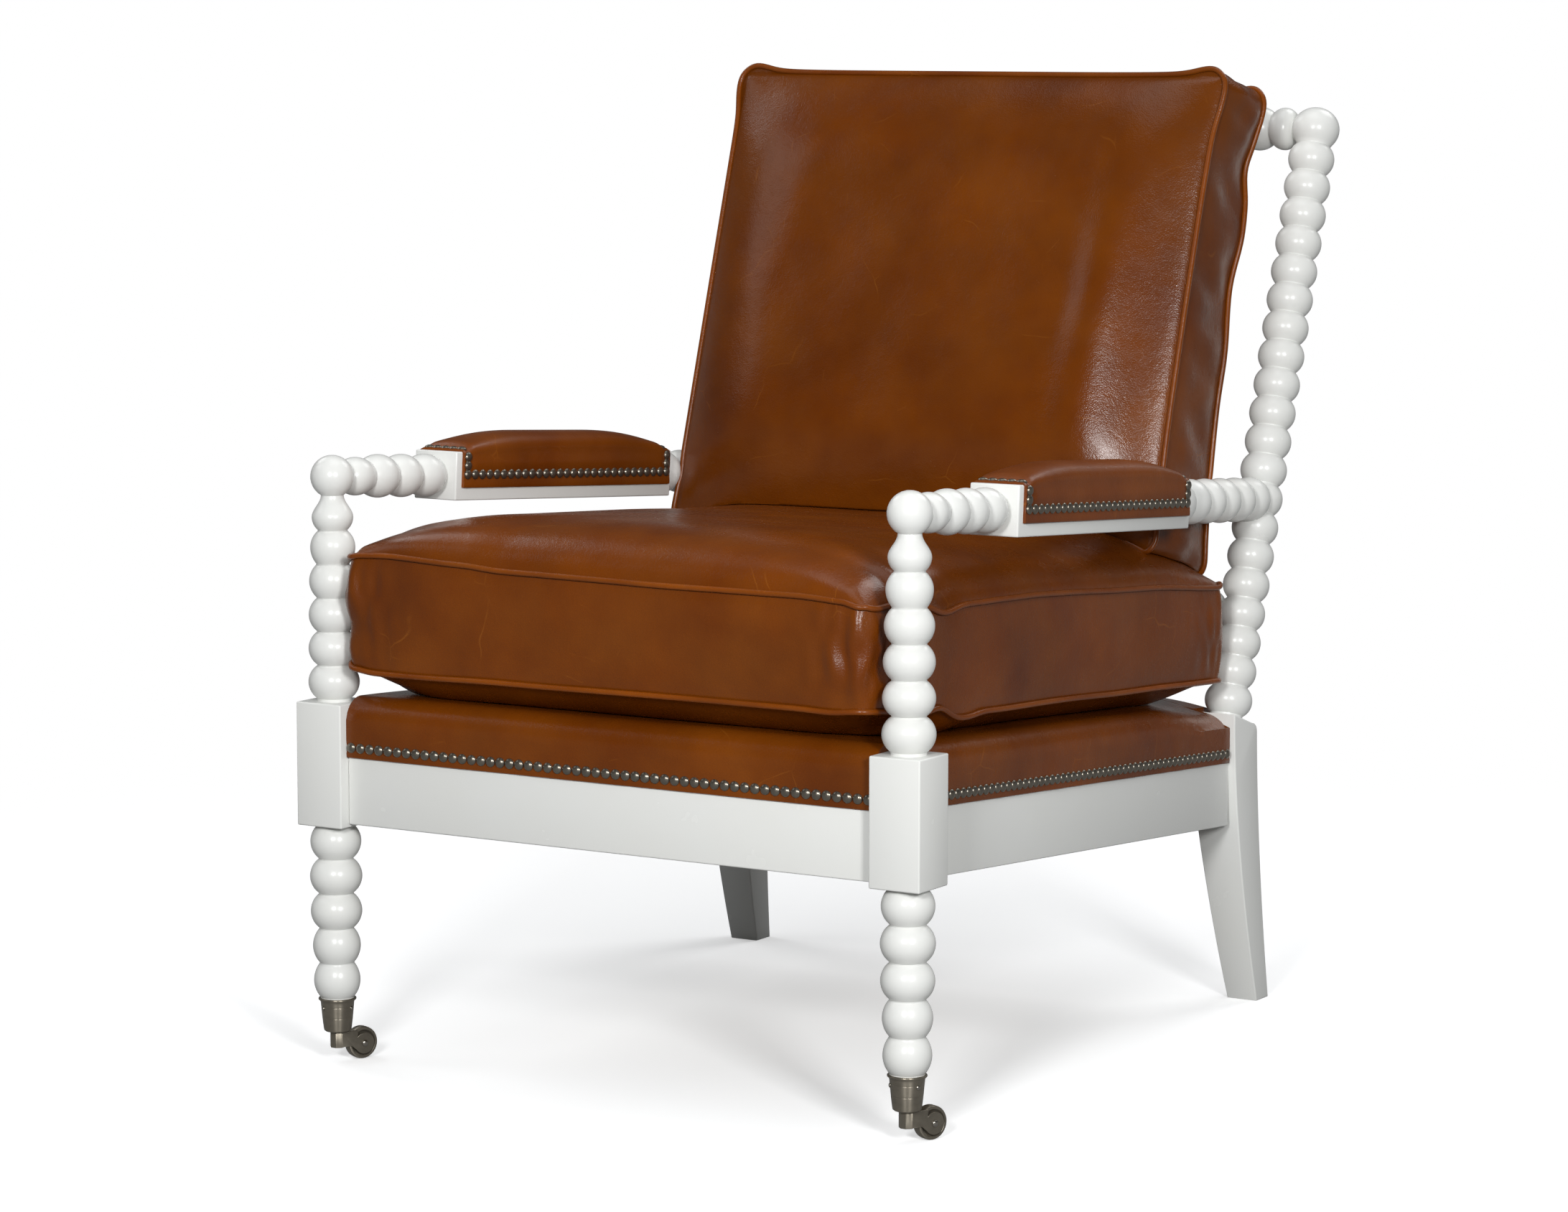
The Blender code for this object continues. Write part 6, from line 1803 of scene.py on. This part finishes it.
class CHAIR_OT_stage(bpy.types.Operator):
    """Set up the floor, the lamps and the camera"""

    bl_idname = "spool_chair.stage"
    bl_label = "Stage"

    def execute(self, context):
        profile = [(0.0, 0.0), (1.0, 0.0), (3.0, 0.0), (BACKDROP_RADIUS, 0.0)]
        for turn in range(10, 91, 10):
            angle = math.radians(turn)
            profile.append((BACKDROP_RADIUS + BACKDROP_BEND * math.sin(angle),
                            BACKDROP_BEND - BACKDROP_BEND * math.cos(angle)))
        bm = lathe(profile, 96)
        mesh = bpy.data.meshes.new("studio_floor")
        bm.to_mesh(mesh)
        bm.free()
        mesh.shade_smooth()
        floor = bpy.data.objects.new("studio_floor", mesh)
        context.scene.collection.objects.link(floor)
        mesh.materials.append(floor_finish())
        world = bpy.data.worlds.new("studio")
        context.scene.world = world
        world.use_nodes = True
        sky = world.node_tree
        sky.nodes["Background"].inputs["Color"].default_value = SKY_COLOR
        path = add(sky, "ShaderNodeLightPath", (-600, 0))
        sky.links.new(span(sky, path.outputs["Is Glossy Ray"], SKY_LEVEL, SKY_IN_REFLECTIONS, (-300, 0)),
                      sky.nodes["Background"].inputs["Strength"])
        for name, azimuth, elevation, distance, size, watts in LAMPS:
            soft_box(name, Vector(LAMP_CENTRE) + way_to(azimuth, elevation) * distance, size, watts)
        soft_box("top_lamp", *TOP_LAMP)
        camera = bpy.data.cameras.new("camera")
        camera.sensor_width = SENSOR_WIDTH
        camera.lens = settings("studio").lens
        view = bpy.data.objects.new("camera", camera)
        context.scene.collection.objects.link(view)
        back = way_to(CAMERA_AZIMUTH, CAMERA_ELEVATION)
        across = Vector((0, 0, 1)).cross(back).normalized()
        up = back.cross(across)
        across, up = (across * math.cos(CAMERA_ROLL) + up * math.sin(CAMERA_ROLL),
                      up * math.cos(CAMERA_ROLL) - across * math.sin(CAMERA_ROLL))
        matrix = Matrix((across, up, back)).transposed().to_4x4()
        matrix.translation = at(*CAMERA_AIM) + back * CAMERA_DISTANCE
        view.matrix_world = matrix
        context.scene.camera = view
        context.scene.view_settings.view_transform = "Standard"
        return {"FINISHED"}


OPERATORS = (
    CHAIR_OT_stage, CHAIR_OT_front_posts, CHAIR_OT_back_posts, CHAIR_OT_back_frame, CHAIR_OT_arms,
    CHAIR_OT_seat_rails, CHAIR_OT_inner_frame, CHAIR_OT_deck, CHAIR_OT_deck_nails,
    CHAIR_OT_seat_cushion, CHAIR_OT_back_cushion, CHAIR_OT_arm_pads, CHAIR_OT_casters)

GROUPS = {"wood": WoodSettings, "leather": LeatherSettings, "cushion": CushionSettings,
          "nails": NailSettings, "caster": CasterSettings, "studio": StudioSettings}


class CHAIR_PT_builder(bpy.types.Panel):
    """The chair's settings and its pieces"""

    bl_idname = "CHAIR_PT_builder"
    bl_label = "Spool Lounge Chair"
    bl_space_type = "VIEW_3D"
    bl_region_type = "UI"
    bl_category = "Chair"

    def draw(self, context):
        for name, group in GROUPS.items():
            box = self.layout.box()
            box.label(text=name.capitalize())
            for key in group.__annotations__:
                box.prop(settings(name), key)
        for operator in OPERATORS:
            self.layout.operator(operator.bl_idname)


def register():
    """Register the settings, the operators and the panel."""
    for name, group in GROUPS.items():
        bpy.utils.register_class(group)
        setattr(bpy.types.Scene, "spool_chair_" + name, bpy.props.PointerProperty(type=group))
    for known in (*OPERATORS, CHAIR_PT_builder):
        bpy.utils.register_class(known)


def unregister():
    """Remove the panel, the operators and the settings."""
    for known in (CHAIR_PT_builder, *reversed(OPERATORS)):
        bpy.utils.unregister_class(known)
    for name, group in GROUPS.items():
        delattr(bpy.types.Scene, "spool_chair_" + name)
        bpy.utils.unregister_class(group)


def main():
    """Build the chair and its stage."""
    register()
    for operator in OPERATORS:
        group, name = operator.bl_idname.split(".")
        if getattr(getattr(bpy.ops, group), name)() != {"FINISHED"}:
            raise RuntimeError(operator.bl_label + " did not finish")
    bpy.context.view_layer.update()


if __name__ == "__main__":
    main()
